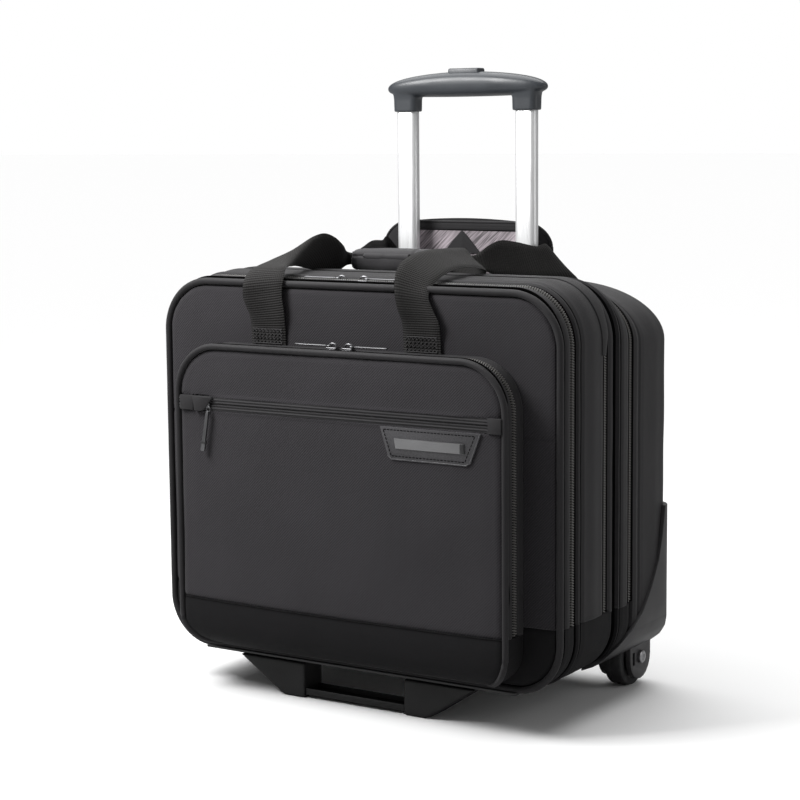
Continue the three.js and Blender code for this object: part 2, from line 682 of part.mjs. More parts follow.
const FRONT_HANDLE = [
  [-89, -4.4, 347, 1, 0, 0, WEBBING],
  [-89.5, -7, 356, 1, 0.04, 0, WEBBING],
  [-92, -13, 372, 0.98, 0.15, 0, WEBBING],
  [-96, -9, 388, 0.98, 0.12, 0, WEBBING],
  [-99, 6, 399, 0.98, -0.1, 0, WEBBING],
  [-100, 24, 403, 0.96, -0.25, 0, WEBBING],
  [-99, 44, 406, 0.8, -0.55, -0.25, WEBBING],
  [-97, 64, 409, 0.35, -0.7, -0.6, WEBBING],
  [-95, 84, 410, 0.2, -0.45, -0.85, WEBBING],
  [-94, 101, 406, 0.3, -0.5, -0.8, 30],
  [-91, 114, 401, 0.2, -0.4, -0.8, 18],
  [-84, 120.5, 398, 0, 0, -1, FOLDED],
  [-30, 121, 398, 0, 0, -1, FOLDED],
  [30, 120.5, 398, 0, 0, -1, FOLDED],
  [46, 117, 400, 0.1, -0.3, -0.9, 20],
  [62, 109, 403, 0.3, -0.6, -0.75, 30],
  [71, 94, 405, 0.75, -0.35, -0.55, WEBBING],
  [70, 70, 407, 0.88, -0.25, -0.4, WEBBING],
  [64, 42, 406, 0.93, -0.1, -0.36, WEBBING],
  [61, 22, 404, 0.95, -0.05, -0.28, WEBBING],
  [62, 6, 398, 0.96, -0.08, -0.2, WEBBING],
  [64, -7, 387, 0.97, -0.1, -0.12, WEBBING],
  [69, -13, 371, 0.98, -0.1, 0, WEBBING],
  [75, -7.2, 356, 1, -0.04, 0, WEBBING],
  [76, -4.4, 347, 1, 0, 0, WEBBING],
];

const REAR_HANDLE = [
  [-97, 215.3, 379, -1, 0, 0.05, WEBBING],
  [-97, 211, 391, -0.85, -0.2, 0.4, 36],
  [-97, 199, 398, -0.45, -0.35, 0.8, 34],
  [-94, 180, 400, -0.15, -0.2, 0.95, 34],
  [-92, 160, 399, -0.1, -0.1, 0.98, 30],
  [-88, 140, 398, 0, -0.1, 0.98, 16],
  [-80, 131.5, 397, 0, 0, 1, FOLDED],
  [-30, 131, 397, 0, 0, 1, FOLDED],
  [26, 131.5, 397, 0, 0, 1, FOLDED],
  [38, 140, 398, 0, 0, 1, 18],
  [48, 156, 399, 0, -0.1, 0.98, 30],
  [62, 174, 400, 0, -0.1, 0.98, 34],
  [80, 184, 400, 0.1, -0.2, 0.95, 34],
  [93, 199, 398, 0.45, -0.35, 0.8, 34],
  [97, 211, 391, 0.85, -0.2, 0.4, 36],
  [97, 215.3, 379, 1, 0, 0.05, WEBBING],
];

// The wrap holds both straps: a top, a front and a short lip below, open towards the back, so
// the rear strap comes free when the front handle swings away
function addHandles() {
  addPiece('front_handle', strap(FRONT_HANDLE), 'webbing');
  addPiece('rear_handle', strap(REAR_HANDLE), 'webbing');
  const wrap = polygon([
    [112.5, 390], [126, 390], [126, 391.2], [117, 391.2], [117, 405.4], [138, 405.4], [138, 409], [112.5, 409],
  ]);
  addPiece('handle_wrap', alongX(wrap, -82, 30), 'webbing');
}

addPages();
addRearShell();
addBackPanel();
addBaseTray();
addBaseBoard();
addBackBoard();
addZipTapes();
addFrontPiping();
addPocket();
addSlipZipAndBadge();
addSliders();
addSlipSlider();
addTrolley();
addGrip();
addFlap();
addWheels();
addFeet();
addHandles();

export default rollingCase;
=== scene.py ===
# Rolling laptop case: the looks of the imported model. Lengths named here are in millimetres of
# the case's own frame: x from left to right, y backwards from the front panel, z up from the
# floor. place() turns them into the row frame's metres.
import math
import bpy
import bmesh
import numpy as np
from mathutils import Matrix, Vector, noise


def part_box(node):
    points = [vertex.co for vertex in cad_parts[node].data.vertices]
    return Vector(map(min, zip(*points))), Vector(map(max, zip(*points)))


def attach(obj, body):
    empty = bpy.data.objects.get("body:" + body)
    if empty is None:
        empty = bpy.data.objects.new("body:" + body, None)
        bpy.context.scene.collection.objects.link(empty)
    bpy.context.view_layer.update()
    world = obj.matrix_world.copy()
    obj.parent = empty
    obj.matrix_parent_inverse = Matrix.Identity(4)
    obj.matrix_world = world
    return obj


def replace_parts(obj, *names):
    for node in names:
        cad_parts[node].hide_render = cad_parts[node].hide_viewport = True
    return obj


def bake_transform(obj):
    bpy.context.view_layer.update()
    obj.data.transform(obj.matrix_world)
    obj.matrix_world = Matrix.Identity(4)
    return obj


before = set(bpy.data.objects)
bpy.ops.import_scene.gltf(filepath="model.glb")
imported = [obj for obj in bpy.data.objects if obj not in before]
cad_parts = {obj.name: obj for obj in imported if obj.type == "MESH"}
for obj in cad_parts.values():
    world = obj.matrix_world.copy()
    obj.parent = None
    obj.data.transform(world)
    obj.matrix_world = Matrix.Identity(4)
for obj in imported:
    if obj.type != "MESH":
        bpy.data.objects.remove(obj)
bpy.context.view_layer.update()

MM = 0.001
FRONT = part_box("base_front")[0][1]


def low(node):
    """A node's lowest corner in case millimetres."""
    x, y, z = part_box(node)[0]
    return x / MM, (y - FRONT) / MM, z / MM


def high(node):
    """A node's highest corner in case millimetres."""
    x, y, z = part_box(node)[1]
    return x / MM, (y - FRONT) / MM, z / MM


def middle(node):
    return tuple((a + b) / 2 for a, b in zip(low(node), high(node)))


def place(x, y, z):
    return Vector((x * MM, FRONT + y * MM, z * MM))


# ---- Driving sizes, from the frame ----

HALF = high("middle_module")[0]
TOP = high("middle_module")[2]
SHELL_TOP = high("rear_shell")[2]
BOTTOM = low("base_tray")[2]
SEAM = high("base_tray")[2]
BACK = high("base_tray")[1]
ZIP_A = middle("zipper_front")[1]
ZIP_B = middle("zipper_middle")[1]
ZIP_C = middle("zipper_rear")[1]
ZIP_P = middle("zipper_pocket")[1]
POCKET_HALF = high("pocket_lid")[0]
POCKET_TOP = high("pocket_lid")[2]
POCKET_FRONT = low("pocket_lid")[1]
POCKET_BOTTOM = low("pocket_base")[2]
POCKET_SEAM = high("pocket_base")[2]
SLIP_Z = middle("zipper_slip")[2]
SLIP_HALF = high("zipper_slip")[0]
TUBE_X = middle("upper_tube_right")[0]
TUBE_Y = middle("upper_tube_right")[1]

TOP_RADIUS = 48
BASE_RADIUS = 45
POCKET_RADIUS = 45
POCKET_BASE_RADIUS = 32
BACK_RADIUS = 18
SKIN = 1.4
TAPE_HALF = 3.6
TOOTH_PITCH = 2.3


# ---- Materials ----

class Shader:
    """A Principled material with short calls for the nodes that the case's finishes use."""

    def __init__(self, name, colour, roughness, metallic=0.0):
        self.material = bpy.data.materials.new(name)
        self.material.use_nodes = True
        self.tree = self.material.node_tree
        self.surface = self.tree.nodes["Principled BSDF"]
        self.set("Base Color", (*colour, 1))
        self.set("Roughness", roughness)
        self.set("Metallic", metallic)
        self.colour = colour

    def set(self, socket, value):
        self.surface.inputs[socket].default_value = value

    def node(self, kind, **inputs):
        made = self.tree.nodes.new(kind)
        for name, value in inputs.items():
            self.feed(made.inputs[name.replace("_", " ")], value)
        return made

    def feed(self, socket, value):
        if isinstance(value, bpy.types.NodeSocket):
            self.tree.links.new(value, socket)
        else:
            socket.default_value = value

    def math(self, operation, *values):
        made = self.tree.nodes.new("ShaderNodeMath")
        made.operation = operation
        for socket, value in zip(made.inputs, values):
            self.feed(socket, value)
        return made.outputs[0]

    def spot(self, kind="Object"):
        return self.tree.nodes.new("ShaderNodeTexCoord").outputs[kind]

    def parts(self, vector):
        split = self.tree.nodes.new("ShaderNodeSeparateXYZ")
        self.feed(split.inputs[0], vector)
        return split.outputs

    def noise(self, vector, size, detail=3.0):
        """Soft blotches whose size is in metres."""
        made = self.node("ShaderNodeTexNoise", Vector=vector, Scale=1 / size, Detail=detail)
        return made.outputs["Fac"]

    def ripple(self, value, pitch):
        """A wave from -1 to 1 that repeats at each pitch, in metres."""
        return self.math("SINE", self.math("MULTIPLY", value, 2 * math.pi / pitch))

    def spread(self, value, to_low, to_high, from_low=0.3, from_high=0.7):
        made = self.tree.nodes.new("ShaderNodeMapRange")
        settings = (value, from_low, from_high, to_low, to_high)
        for socket, setting in zip(made.inputs, settings):
            self.feed(socket, setting)
        return made.outputs[0]

    def shade(self, amount):
        """Multiplies the base colour by a value, such as the painted sheen and shade of a weave's threads."""
        made = self.tree.nodes.new("ShaderNodeVectorMath")
        made.operation = "SCALE"
        made.inputs[0].default_value = self.colour
        self.feed(made.inputs["Scale"], amount)
        self.feed(self.surface.inputs["Base Color"], made.outputs[0])

    def rough(self, amount):
        self.feed(self.surface.inputs["Roughness"], amount)

    def bump(self, height, depth, strength=1.0, under=None):
        made = self.node("ShaderNodeBump", Height=height, Strength=strength, Distance=depth)
        if under is not None:
            self.feed(made.inputs["Normal"], under)
        self.feed(self.surface.inputs["Normal"], made.outputs[0])
        return made.outputs[0]


def woven(name, colour, pitch, depth, thread_sheen, roughness, sheen, slant=0.0, shine=0.19):
    """Nylon cloth: threads crossing on the slant, with painted sheen and shade along them, slow changes of
    tone and soft puckers.

    slant turns the crossing threads, by 1, into a twill's diagonal ribs.
    """
    cloth = Shader(name, colour, roughness)
    cloth.set("Sheen Weight", sheen)
    cloth.set("Sheen Roughness", 0.5)
    cloth.set("Specular IOR Level", shine)
    spot = cloth.spot("UV")
    across, along, _ = cloth.parts(spot)
    rising = cloth.ripple(cloth.math("SUBTRACT", along, across), pitch)
    falling = cloth.ripple(cloth.math("ADD", across, along), pitch)
    crossing = cloth.math("MULTIPLY", rising, falling)
    threads = cloth.math("MULTIPLY_ADD", crossing, 1 - slant, cloth.math("MULTIPLY", rising, slant))
    slow = cloth.noise(cloth.spot(), 0.09)
    fuzz = cloth.noise(cloth.spot(), 0.0016, 2.0)
    # Painted sheen and shade: the thread pattern lightens and darkens the base colour, as light would on
    # raised threads.
    tone = cloth.math("ADD", cloth.math("MULTIPLY", threads, thread_sheen), cloth.spread(slow, 0.9, 1.1))
    cloth.shade(cloth.math("ADD", tone, cloth.spread(fuzz, -0.07, 0.07)))
    cloth.rough(cloth.spread(slow, roughness - 0.05, roughness + 0.05))
    puckers = cloth.bump(cloth.noise(cloth.spot(), 0.022, 2.0), 0.0012, 0.35)
    cloth.bump(threads, depth, 0.6, puckers)
    return cloth.material


def ribbed(name, colour, pitch, depth, roughness):
    """Webbing: ribs across its length, crossed by fine warp lines, with painted sheen and shade on the ribs.
    """
    strap = Shader(name, colour, roughness)
    strap.set("Sheen Weight", 0.05)
    strap.set("Specular IOR Level", 0.2)
    across, along, _ = strap.parts(strap.spot("UV"))
    ribs = strap.ripple(along, pitch)
    warp = strap.ripple(across, pitch * 0.8)
    weave = strap.math("MULTIPLY_ADD", warp, 0.35, ribs)
    slow = strap.noise(strap.spot(), 0.05)
    # Painted sheen and shade: the ribs lighten and darken the base colour, as light would on their raised
    # tops.
    strap.shade(strap.math("MULTIPLY_ADD", weave, 0.16, strap.spread(slow, 0.88, 1.12)))
    strap.bump(weave, depth, 0.7)
    return strap.material


def moulded(name, colour, roughness, grain, depth, coat=0.0):
    """Injection-moulded plastic with a fine spark-eroded grain and slightly rubbed patches."""
    plastic = Shader(name, colour, roughness)
    plastic.set("Coat Weight", coat)
    plastic.set("Coat Roughness", 0.25)
    spot = plastic.spot()
    fine = plastic.noise(spot, grain, 2.0)
    slow = plastic.noise(spot, 0.035)
    plastic.shade(plastic.spread(slow, 0.92, 1.1))
    plastic.rough(plastic.spread(slow, roughness - 0.07, roughness + 0.07))
    plastic.bump(fine, depth, 0.4)
    return plastic.material


def metal(name, colour, roughness, brushed_along=None, metallic=1.0):
    """Plated or anodised metal, with brushing lines along one axis when that is named."""
    plate = Shader(name, colour, roughness, metallic)
    spot = plate.spot()
    slow = plate.noise(spot, 0.03)
    if brushed_along is None:
        plate.rough(plate.spread(slow, roughness * 0.8, roughness * 1.3))
        plate.bump(plate.noise(spot, 0.0009, 2.0), 0.00002, 0.3)
        return plate.material
    x, y, z = plate.parts(spot)
    stretched = plate.tree.nodes.new("ShaderNodeCombineXYZ")
    for socket, value, axis in zip(stretched.inputs, (x, y, z), "XYZ"):
        plate.feed(socket, plate.math("MULTIPLY", value, 0.02 if axis == brushed_along else 1.0))
    lines = plate.noise(stretched.outputs[0], 0.0004, 2.0)
    plate.rough(plate.spread(lines, roughness * 0.75, roughness * 1.3))
    plate.shade(plate.spread(lines, 0.96, 1.04))
    plate.bump(lines, 0.00003, 0.5)
    return plate.material


def lining_print():
    """Polyester lining with a print of slanting light and dark streaks."""
    lining = Shader("lining", (0.27, 0.235, 0.255), 0.7)
    lining.set("Sheen Weight", 0.3)
    x, _, z = lining.parts(lining.spot())
    slant = lining.math("MULTIPLY_ADD", x, -0.9, z)
    drift = lining.math("MULTIPLY", lining.math("ADD", x, z), 0.05)
    streak_place = lining.tree.nodes.new("ShaderNodeCombineXYZ")
    lining.feed(streak_place.inputs[0], slant)
    lining.feed(streak_place.inputs[1], drift)
    streaks = lining.noise(streak_place.outputs[0], 0.0022, 2.5)
    lining.shade(lining.spread(streaks, 0.4, 2.1, 0.36, 0.66))
    lining.bump(lining.ripple(slant, 0.0011), 0.0001, 0.4)
    return lining.material


def grained_leather():
    """Pebbled leather-look patch, darker in its creases."""
    hide = Shader("badge_leather", (0.068, 0.066, 0.071), 0.46)
    cells = hide.node("ShaderNodeTexVoronoi", Vector=hide.spot(), Scale=900.0)
    pebble = hide.spread(cells.outputs["Distance"], 1.0, 0.0, 0.0, 0.8)
    slow = hide.noise(hide.spot(), 0.02)
    hide.shade(hide.math("MULTIPLY", hide.spread(pebble, 0.8, 1.15, 0.0, 1.0), hide.spread(slow, 0.9, 1.1)))
    hide.bump(pebble, 0.00025, 0.6)
    return hide.material


def tyre_rubber():
    """Matt tread rubber, a little dusty."""
    rubber = Shader("tyre", (0.028, 0.028, 0.029), 0.8)
    dust = rubber.noise(rubber.spot(), 0.008, 4.0)
    rubber.shade(rubber.spread(dust, 0.8, 1.6))
    rubber.bump(rubber.noise(rubber.spot(), 0.0012), 0.0001, 0.5)
    return rubber.material


TWILL = woven("nylon_twill", (0.0300, 0.0278, 0.0312), 0.0026, 0.00022, 0.40, 0.78, 0.10, 0.6)
PLAIN = woven("nylon_plain", (0.0235, 0.0225, 0.0240), 0.0014, 0.00008, 0.07, 0.62, 0.08)
# The boot's own nylon, its colour also darkened as painted shade for the low part of the bag.
BOOT_WITH_SHADE = woven("boot_nylon", (0.0090, 0.0086, 0.0095), 0.0016, 0.00010, 0.08, 0.66, 0.03, shine=0.12)
WELT = woven("piping_cloth", (0.0225, 0.0215, 0.0230), 0.0013, 0.00007, 0.07, 0.58, 0.07)
PADDING = woven("padded_cloth", (0.046, 0.0445, 0.047), 0.0014, 0.00008, 0.07, 0.62, 0.10)
TAPE = woven("zip_tape", (0.012, 0.0115, 0.012), 0.0012, 0.00008, 0.15, 0.8, 0.03)
# Near-black cloth: painted shade in the creases and in the slip zip's grooves, and the badge's own dark
# stitching thread.
SHADE_AND_THREAD = woven("shade_and_thread_cloth", (0.0015, 0.0014, 0.0015), 0.0014, 0.00006, 0.1, 0.9, 0.0, shine=0.02)
WEBBING = ribbed("webbing", (0.021, 0.020, 0.0195), 0.0022, 0.0003, 0.75)
THREAD = ribbed("thread", (0.06, 0.058, 0.06), 0.0008, 0.0001, 0.6)
COIL = moulded("zip_coil", (0.14, 0.135, 0.13), 0.42, 0.0008, 0.00003)
# Lit and shaded copies of one plastic: the corner guards' copy is lighter, painted light, and the feet's and
# foot bar's copy is darker, painted shade.
HOUSING_PAINTED_LIGHT = moulded("housing_plastic", (0.042, 0.041, 0.043), 0.45, 0.0011, 0.00006)
FOOT_PAINTED_SHADE = moulded("foot_plastic_painted_shade", (0.0065, 0.0063, 0.0066), 0.6, 0.0011, 0.00006)
BLACK = moulded("black_plastic", (0.022, 0.022, 0.023), 0.4, 0.0009, 0.00004)
GRIP = moulded("grip_plastic", (0.042, 0.047, 0.054), 0.40, 0.0012, 0.00004, 0.15)
# Painted reflection: the tubes are only half metallic, so their pale colour also shows as diffuse white,
# standing in for the white studio they reflect.
ALUMINIUM_WITH_PAINTED_REFLECTION = metal("aluminium", (0.93, 0.935, 0.94), 0.36, "Z", 0.55)
CHROME = metal("chrome", (0.16, 0.16, 0.165), 0.38)
STEEL = metal("steel", (0.42, 0.42, 0.43), 0.3)
PLATE = metal("badge_metal", (0.30, 0.30, 0.305), 0.40, "X")
LINING = lining_print()
LEATHER = grained_leather()
RUBBER = tyre_rubber()


# ---- Mesh helpers ----

def piece(name, points, faces, finish, uvs=None, sharp=40):
    """A named mesh from points in case millimetres. uvs gives each point's cloth place, in metres."""
    mesh = bpy.data.meshes.new(name)
    spots = np.asarray(points, float).reshape(-1, 3) * MM
    spots[:, 1] += FRONT
    mesh.from_pydata(spots.tolist(), [], [list(map(int, face)) for face in faces])
    if uvs is not None:
        layer = mesh.uv_layers.new(name="UVMap")
        corners = np.zeros(len(mesh.loops), int)
        mesh.loops.foreach_get("vertex_index", corners)
        layer.data.foreach_set("uv", np.asarray(uvs, float)[corners].ravel())
    made = bpy.data.objects.new(name, mesh)
    bpy.context.collection.objects.link(made)
    mesh.materials.append(finish)
    smooth(made, sharp)
    return made


def full_turn(count):
    """Angles at even steps once round."""
    return np.linspace(0, 2 * math.pi, count, endpoint=False)


def smooth(obj, sharp=40):
    obj.data.polygons.foreach_set("use_smooth", [True] * len(obj.data.polygons))
    obj.data.set_sharp_from_angle(angle=math.radians(sharp))
    obj.data.update()


def settle(obj):
    """Applies every modifier, so that the mesh is final."""
    graph = bpy.context.evaluated_depsgraph_get()
    mesh = bpy.data.meshes.new_from_object(obj.evaluated_get(graph))
    old = obj.data
    obj.modifiers.clear()
    obj.data = mesh
    bpy.data.meshes.remove(old)
    return obj


def thicken(obj, thickness=SKIN):
    """Gives an open sheet its thickness, inwards."""
    solid = obj.modifiers.new("thickness", "SOLIDIFY")
    solid.thickness = thickness * MM
    solid.offset = -1
    return settle(obj)


def quads(rows, columns, closed=False):
    """Faces of a grid of points. closed joins the last column to the first."""
    faces = []
    for row in range(rows - 1):
        for column in range(columns if closed else columns - 1):
            right = (column + 1) % columns
            here = row * columns
            faces.append((here + column, here + right, here + columns + right, here + columns + column))
    return faces


def eased(table, value):
    """Reads a table of (place, amount) with smooth steps between its entries."""
    places = [entry[0] for entry in table]
    amounts = [entry[1] for entry in table]
    if value <= places[0]:
        return amounts[0]
    for i in range(1, len(places)):
        if value <= places[i]:
            share = (value - places[i - 1]) / (places[i] - places[i - 1])
            return amounts[i - 1] + (amounts[i] - amounts[i - 1]) * share * share * (3 - 2 * share)
    return amounts[-1]


def uneven(x, y, z, size, amount):
    """Slow random lift of cloth, the same at each run."""
    return amount * noise.noise(Vector((x / size, y / size, z / size)))


# ---- Outlines in the upright plane, always clockwise seen from the front ----

def straight(start, end, steps):
    return [(start[0] + (end[0] - start[0]) * i / steps, start[1] + (end[1] - start[1]) * i / steps)
            for i in range(steps)]


def bend(centre, radii, start, end, steps):
    """A quarter bend from one angle to another, in degrees, without its last point."""
    turned = [math.radians(start + (end - start) * i / steps) for i in range(steps)]
    return [(centre[0] + radii[0] * math.cos(a), centre[1] + radii[1] * math.sin(a)) for a in turned]


def arch(half, foot, top, corner, side_steps=70, top_steps=90, bend_steps=20):
    """An arch from its left foot over the top to its right foot."""
    rx, rz = corner
    left = bend((rx - half, top - rz), corner, 180, 90, bend_steps)
    right = bend((half - rx, top - rz), corner, 90, 0, bend_steps)
    return np.array(
        straight((-half, foot), (-half, top - rz), side_steps) + left
        + straight((rx - half, top), (half - rx, top), top_steps) + right
        + straight((half, top - rz), (half, foot), side_steps) + [(half, foot)])


def cradle(half, bottom, top, radius, side_steps=12, floor_steps=90, bend_steps=16):
    """A tray's outline from its right edge down and round to its left edge."""
    radii = (radius, radius)
    return np.array(
        straight((half, top), (half, bottom + radius), side_steps)
        + bend((half - radius, bottom + radius), radii, 0, -90, bend_steps)
        + straight((half - radius, bottom), (radius - half, bottom), floor_steps)
        + bend((radius - half, bottom + radius), radii, -90, -180, bend_steps)
        + straight((-half, bottom + radius), (-half, top), side_steps) + [(-half, top)])


def ring(half, bottom, top, corner, radius):
    """The whole way round: the arch and then the cradle, without a repeated point."""
    seam = (bottom + top) / 2
    upper = arch(half, seam, top, corner, side_steps=40)
    lower = cradle(half, bottom, seam, radius, side_steps=24)
    return np.concatenate([upper[:-1], lower[:-1]])


def outward(line, closed=False):
    """The unit normal at each point of a clockwise outline, pointing out of it."""
    if closed:
        ahead = np.roll(line, -1, axis=0) - np.roll(line, 1, axis=0)
    else:
        ahead = np.gradient(line, axis=0)
    ahead /= np.linalg.norm(ahead, axis=1)[:, None]
    return np.stack([-ahead[:, 1], ahead[:, 0]], axis=1)


def travelled(line):
    """The way along an outline to each of its points."""
    steps = np.linalg.norm(np.diff(line, axis=0), axis=1)
    return np.concatenate([[0], np.cumsum(steps)])


def respaced(line, pitch):
    """The outline with points at an even pitch, and its normals there."""
    way = travelled(line)
    stops = np.arange(pitch / 2, way[-1], pitch)
    out = outward(line)
    spots = np.stack([np.interp(stops, way, line[:, k]) for k in (0, 1)], axis=1)
    normals = np.stack([np.interp(stops, way, out[:, k]) for k in (0, 1)], axis=1)
    normals /= np.linalg.norm(normals, axis=1)[:, None]
    return spots, normals


# ---- The bag's own shape ----

# How far the cloth stands out at the sides, by depth: welts, gussets, folds and creases
SIDE_SWELL = [
    (0, -2.5), (3, -1.6), (5.2, -1.6), (7.2, -5.0), (9.2, -0.8), (11.5, 0.3), (14.5, 0.4), (17.2, -0.4),
    (18.4, -2.6),
    (25.6, -5.0), (27.4, -0.8), (29, 1.4), (31, 1.9), (33, 1.0), (34.7, -2.8), (36.4, 0.4), (40, 1.6),
    (56, 2.9),
    (70, 2.2), (75.2, 0.8), (77.4, -5.0), (84.6, -5.0), (86.6, -0.4), (89.5, 1.1), (93, 1.3), (95.3, -0.6),
    (98.2, -10.0), (101, -1.6), (102.8, 2.8), (104.8, 2.4), (106.8, -2.0), (108.8, 1.8), (112, 2.6),
    (119, 2.3),
    (123.8, 1.0), (126.4, -5.0), (133.6, -4.5), (135.8, 0.4), (140.5, 1.3), (144, 0.9), (147, -0.8),
    (150, 0.6), (156, 1.0), (178, 1.4), (196, 0.2)]

# The boot carries the same lines round the bottom, and is plain between them
BASE_SWELL = [
    (0, -1.2), (5.2, -0.8), (7.2, -3.4), (9.2, -0.4), (14, 0.2), (22, 0.2), (24.2, -0.2), (26, -3.4),
    (27.8, 0.6),
    (30, 1.7), (33, 1.2), (34.7, -2.6), (36.4, 0.4), (44, 0.9), (60, 1.1), (80, 0.9), (92, 0.7), (95.4, -0.4),
    (98.2, -8.0), (101, -1.0), (102.6, 2.4), (105, 2.0), (106.8, -1.8), (108.8, 1.3), (114, 1.8), (122, 1.6),
    (127, 0.8), (133.6, -2.0)]

# How much more the top is crowned, by depth
CROWN = [(0, 0.0), (8, 2.0), (22, 3.6), (50, 4.6), (81, 4.0), (98, 3.0), (112, 2.6), (134, 0.8), (150, 0)]

SHELL_BEND = [(98, 48), (112, 56), (130, 72), (147, 90), (165, 100)]
CORNER_HEIGHT = [(98, 48), (130, 50), (165, 52)]
TOP_HEIGHT = [(98, TOP), (130, TOP - 2.4), (147, SHELL_TOP + 0.6), (165, SHELL_TOP)]


def swell(y, normal_z):
    """How far the cloth stands out of the plain outline, from the way its outline faces."""
    side = eased(SIDE_SWELL, y)
    up = max(normal_z, 0) ** 2
    down = max(-normal_z, 0) ** 2
    return side * (1 - 0.75 * down) + up * eased(CROWN, y)


def bag_arch(y, foot=SEAM):
    corner = (eased(SHELL_BEND, y), eased(CORNER_HEIGHT, y))
    return arch(HALF, foot, eased(TOP_HEIGHT, y), corner)


def bag_ring(y):
    corner = (eased(SHELL_BEND, y), eased(CORNER_HEIGHT, y))
    return ring(HALF, BOTTOM, eased(TOP_HEIGHT, y), corner, BASE_RADIUS)


def bag_cradle(_):
    """The boot's outline, which is the same at every depth."""
    return cradle(HALF, BOTTOM, SEAM, BASE_RADIUS)


def sweep(name, line_at, depths, lift_at, finish, closed=False, rough=0.35):
    """Cloth swept over a list of depths. lift_at(y, normal z) says how far it stands out."""
    rows = []
    places = []
    run = None
    depth_way = 0.0
    before = None
    for y in depths:
        line = line_at(y)
        out = outward(line, closed)
        lift = np.array([lift_at(y, facing) for facing in out[:, 1]])
        if rough:
            lift += [uneven(x, y, z, 38, rough) for x, z in line]
        spots = line + out * lift[:, None]
        row = np.stack([spots[:, 0], np.full(len(line), float(y)), spots[:, 1]], axis=1)
        if run is None:
            run = travelled(line)
        if before is not None:
            depth_way += float(np.median(np.linalg.norm(row - before, axis=1)))
        before = row
        rows.append(row)
        places.append(np.stack([run, np.full(len(line), depth_way)], axis=1) * MM)
    faces = quads(len(rows), len(rows[0]), closed)
    return piece(name, np.concatenate(rows), faces, finish, np.concatenate(places))


def spaced(start, end, step=1.2, table=()):
    """Even depths between two, with the creases of a swell table kept sharp."""
    count = max(2, int(round(abs(end - start) / step)) + 1)
    creases = [y for y, _ in table if start + 0.1 < y < end - 0.1]
    even = [y for y in np.linspace(start, end, count) if min((abs(y - c) for c in creases), default=9) > 0.35]
    return sorted(set(even) | set(creases) | {start, end})


# ---- The bag's cloth, by body ----

# How far in from a folded edge a panel's grid lines lie
FINE_PLACES = [0, 0.7, 1.4, 2.2, 3.2, 4.4, 6, 8, 10.5, 13.5, 17, 21, 26, 32, 39, 47]


def face_panel(name, half, bottom_at, top_at, shares, depth_at, finish):
    """An upright panel between two outlines. Its grid is finer towards its edges, for their folds."""
    fine = np.array(FINE_PLACES)
    inner = np.linspace(fine[-1] - half, half - fine[-1], 56)[1:-1]
    columns = np.concatenate([fine - half, inner, half - fine[::-1]])
    grid = []
    uvs = []
    for share in shares:
        for x in columns:
            bottom, top = bottom_at(x), top_at(x)
            z = bottom + (top - bottom) * share
            grid.append((x, depth_at(x, z), z))
            uvs.append((x * MM, z * MM))
    return piece(name, grid, quads(len(shares), len(columns)), finish, uvs)


def edge_shares(height, fine_bottom, fine_top, inner=50):
    """Row places from 0 to 1, finer at the ends that are folded."""
    start = [f / height for f in FINE_PLACES] if fine_bottom else [0]
    end = [1 - f / height for f in reversed(FINE_PLACES)] if fine_top else [1]
    return start + list(np.linspace(start[-1], end[0], inner)[1:-1]) + end


def corner_top(x, half, top, radius_x, radius_z):
    """The height of an arch's outline at x."""
    into = max(abs(x) - (half - radius_x), 0) / radius_x
    return top - radius_z + radius_z * math.sqrt(max(1 - into * into, 0))


def corner_bottom(x, half, bottom, radius):
    into = max(abs(x) - (half - radius), 0) / radius
    return bottom + radius - radius * math.sqrt(max(1 - into * into, 0))


def inset_from(x, z, half, bottom, top, top_radius, base_radius):
    """How far a point lies inside a rounded panel's edge."""
    radius = top_radius if z > (bottom + top) / 2 else base_radius
    across = abs(x) - (half - radius)
    above = z - (top - radius) if z > (bottom + top) / 2 else (bottom + radius) - z
    if across > 0 and above > 0:
        return radius - math.hypot(across, above)
    return radius - max(across, above)


# The panel's edge folds under its welt: a deep crease and then a soft shoulder
EDGE_FOLD = [(0, 3.0), (2.2, 3.6), (4.0, 4.6), (5.6, 0.6), (9, -0.5), (22, -1.1), (70, -1.6)]


def seam_dip(distance, width=1.6, depth=1.2):
    """The groove that a sewn seam pulls into cloth."""
    return depth * math.exp(-(distance / width) ** 2)


def panel_seam(x):
    """The seam between the front panel and the boot, which sags a little in the middle."""
    return SEAM - 1.5 * math.cos(x / HALF * math.pi / 2)


YOKE_SEAM = TOP - 124


def front_depth(x, z):
    fold = eased(EDGE_FOLD, inset_from(x, z, HALF, BOTTOM, TOP, TOP_RADIUS, BASE_RADIUS))
    seam = seam_dip(z - YOKE_SEAM) + seam_dip(z - panel_seam(x), 2.2, 1.3)
    return fold + seam + uneven(x, 0, z, 60, 0.7)


def add_front_panel():
    rows = edge_shares(TOP - SEAM, False, True, 110)
    panel = face_panel("front_panel_cloth", HALF, panel_seam,
                       lambda x: corner_top(x, HALF, TOP, TOP_RADIUS, TOP_RADIUS),
                       rows, front_depth, TWILL)
    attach(thicken(panel), "front_panel")
    boot = face_panel("front_boot", HALF, lambda x: corner_bottom(x, HALF, BOTTOM, BASE_RADIUS), panel_seam,
                      edge_shares(SEAM - BOTTOM, True, False, 14), front_depth, BOOT_WITH_SHADE)
    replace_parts(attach(thicken(boot), "root"), "base_front")
    gusset = sweep("front_gusset", bag_arch, spaced(2, ZIP_A - TAPE_HALF, 1.2, SIDE_SWELL), swell, PLAIN)
    thicken(gusset)
    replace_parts(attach(gusset, "front_panel"), "front_panel")


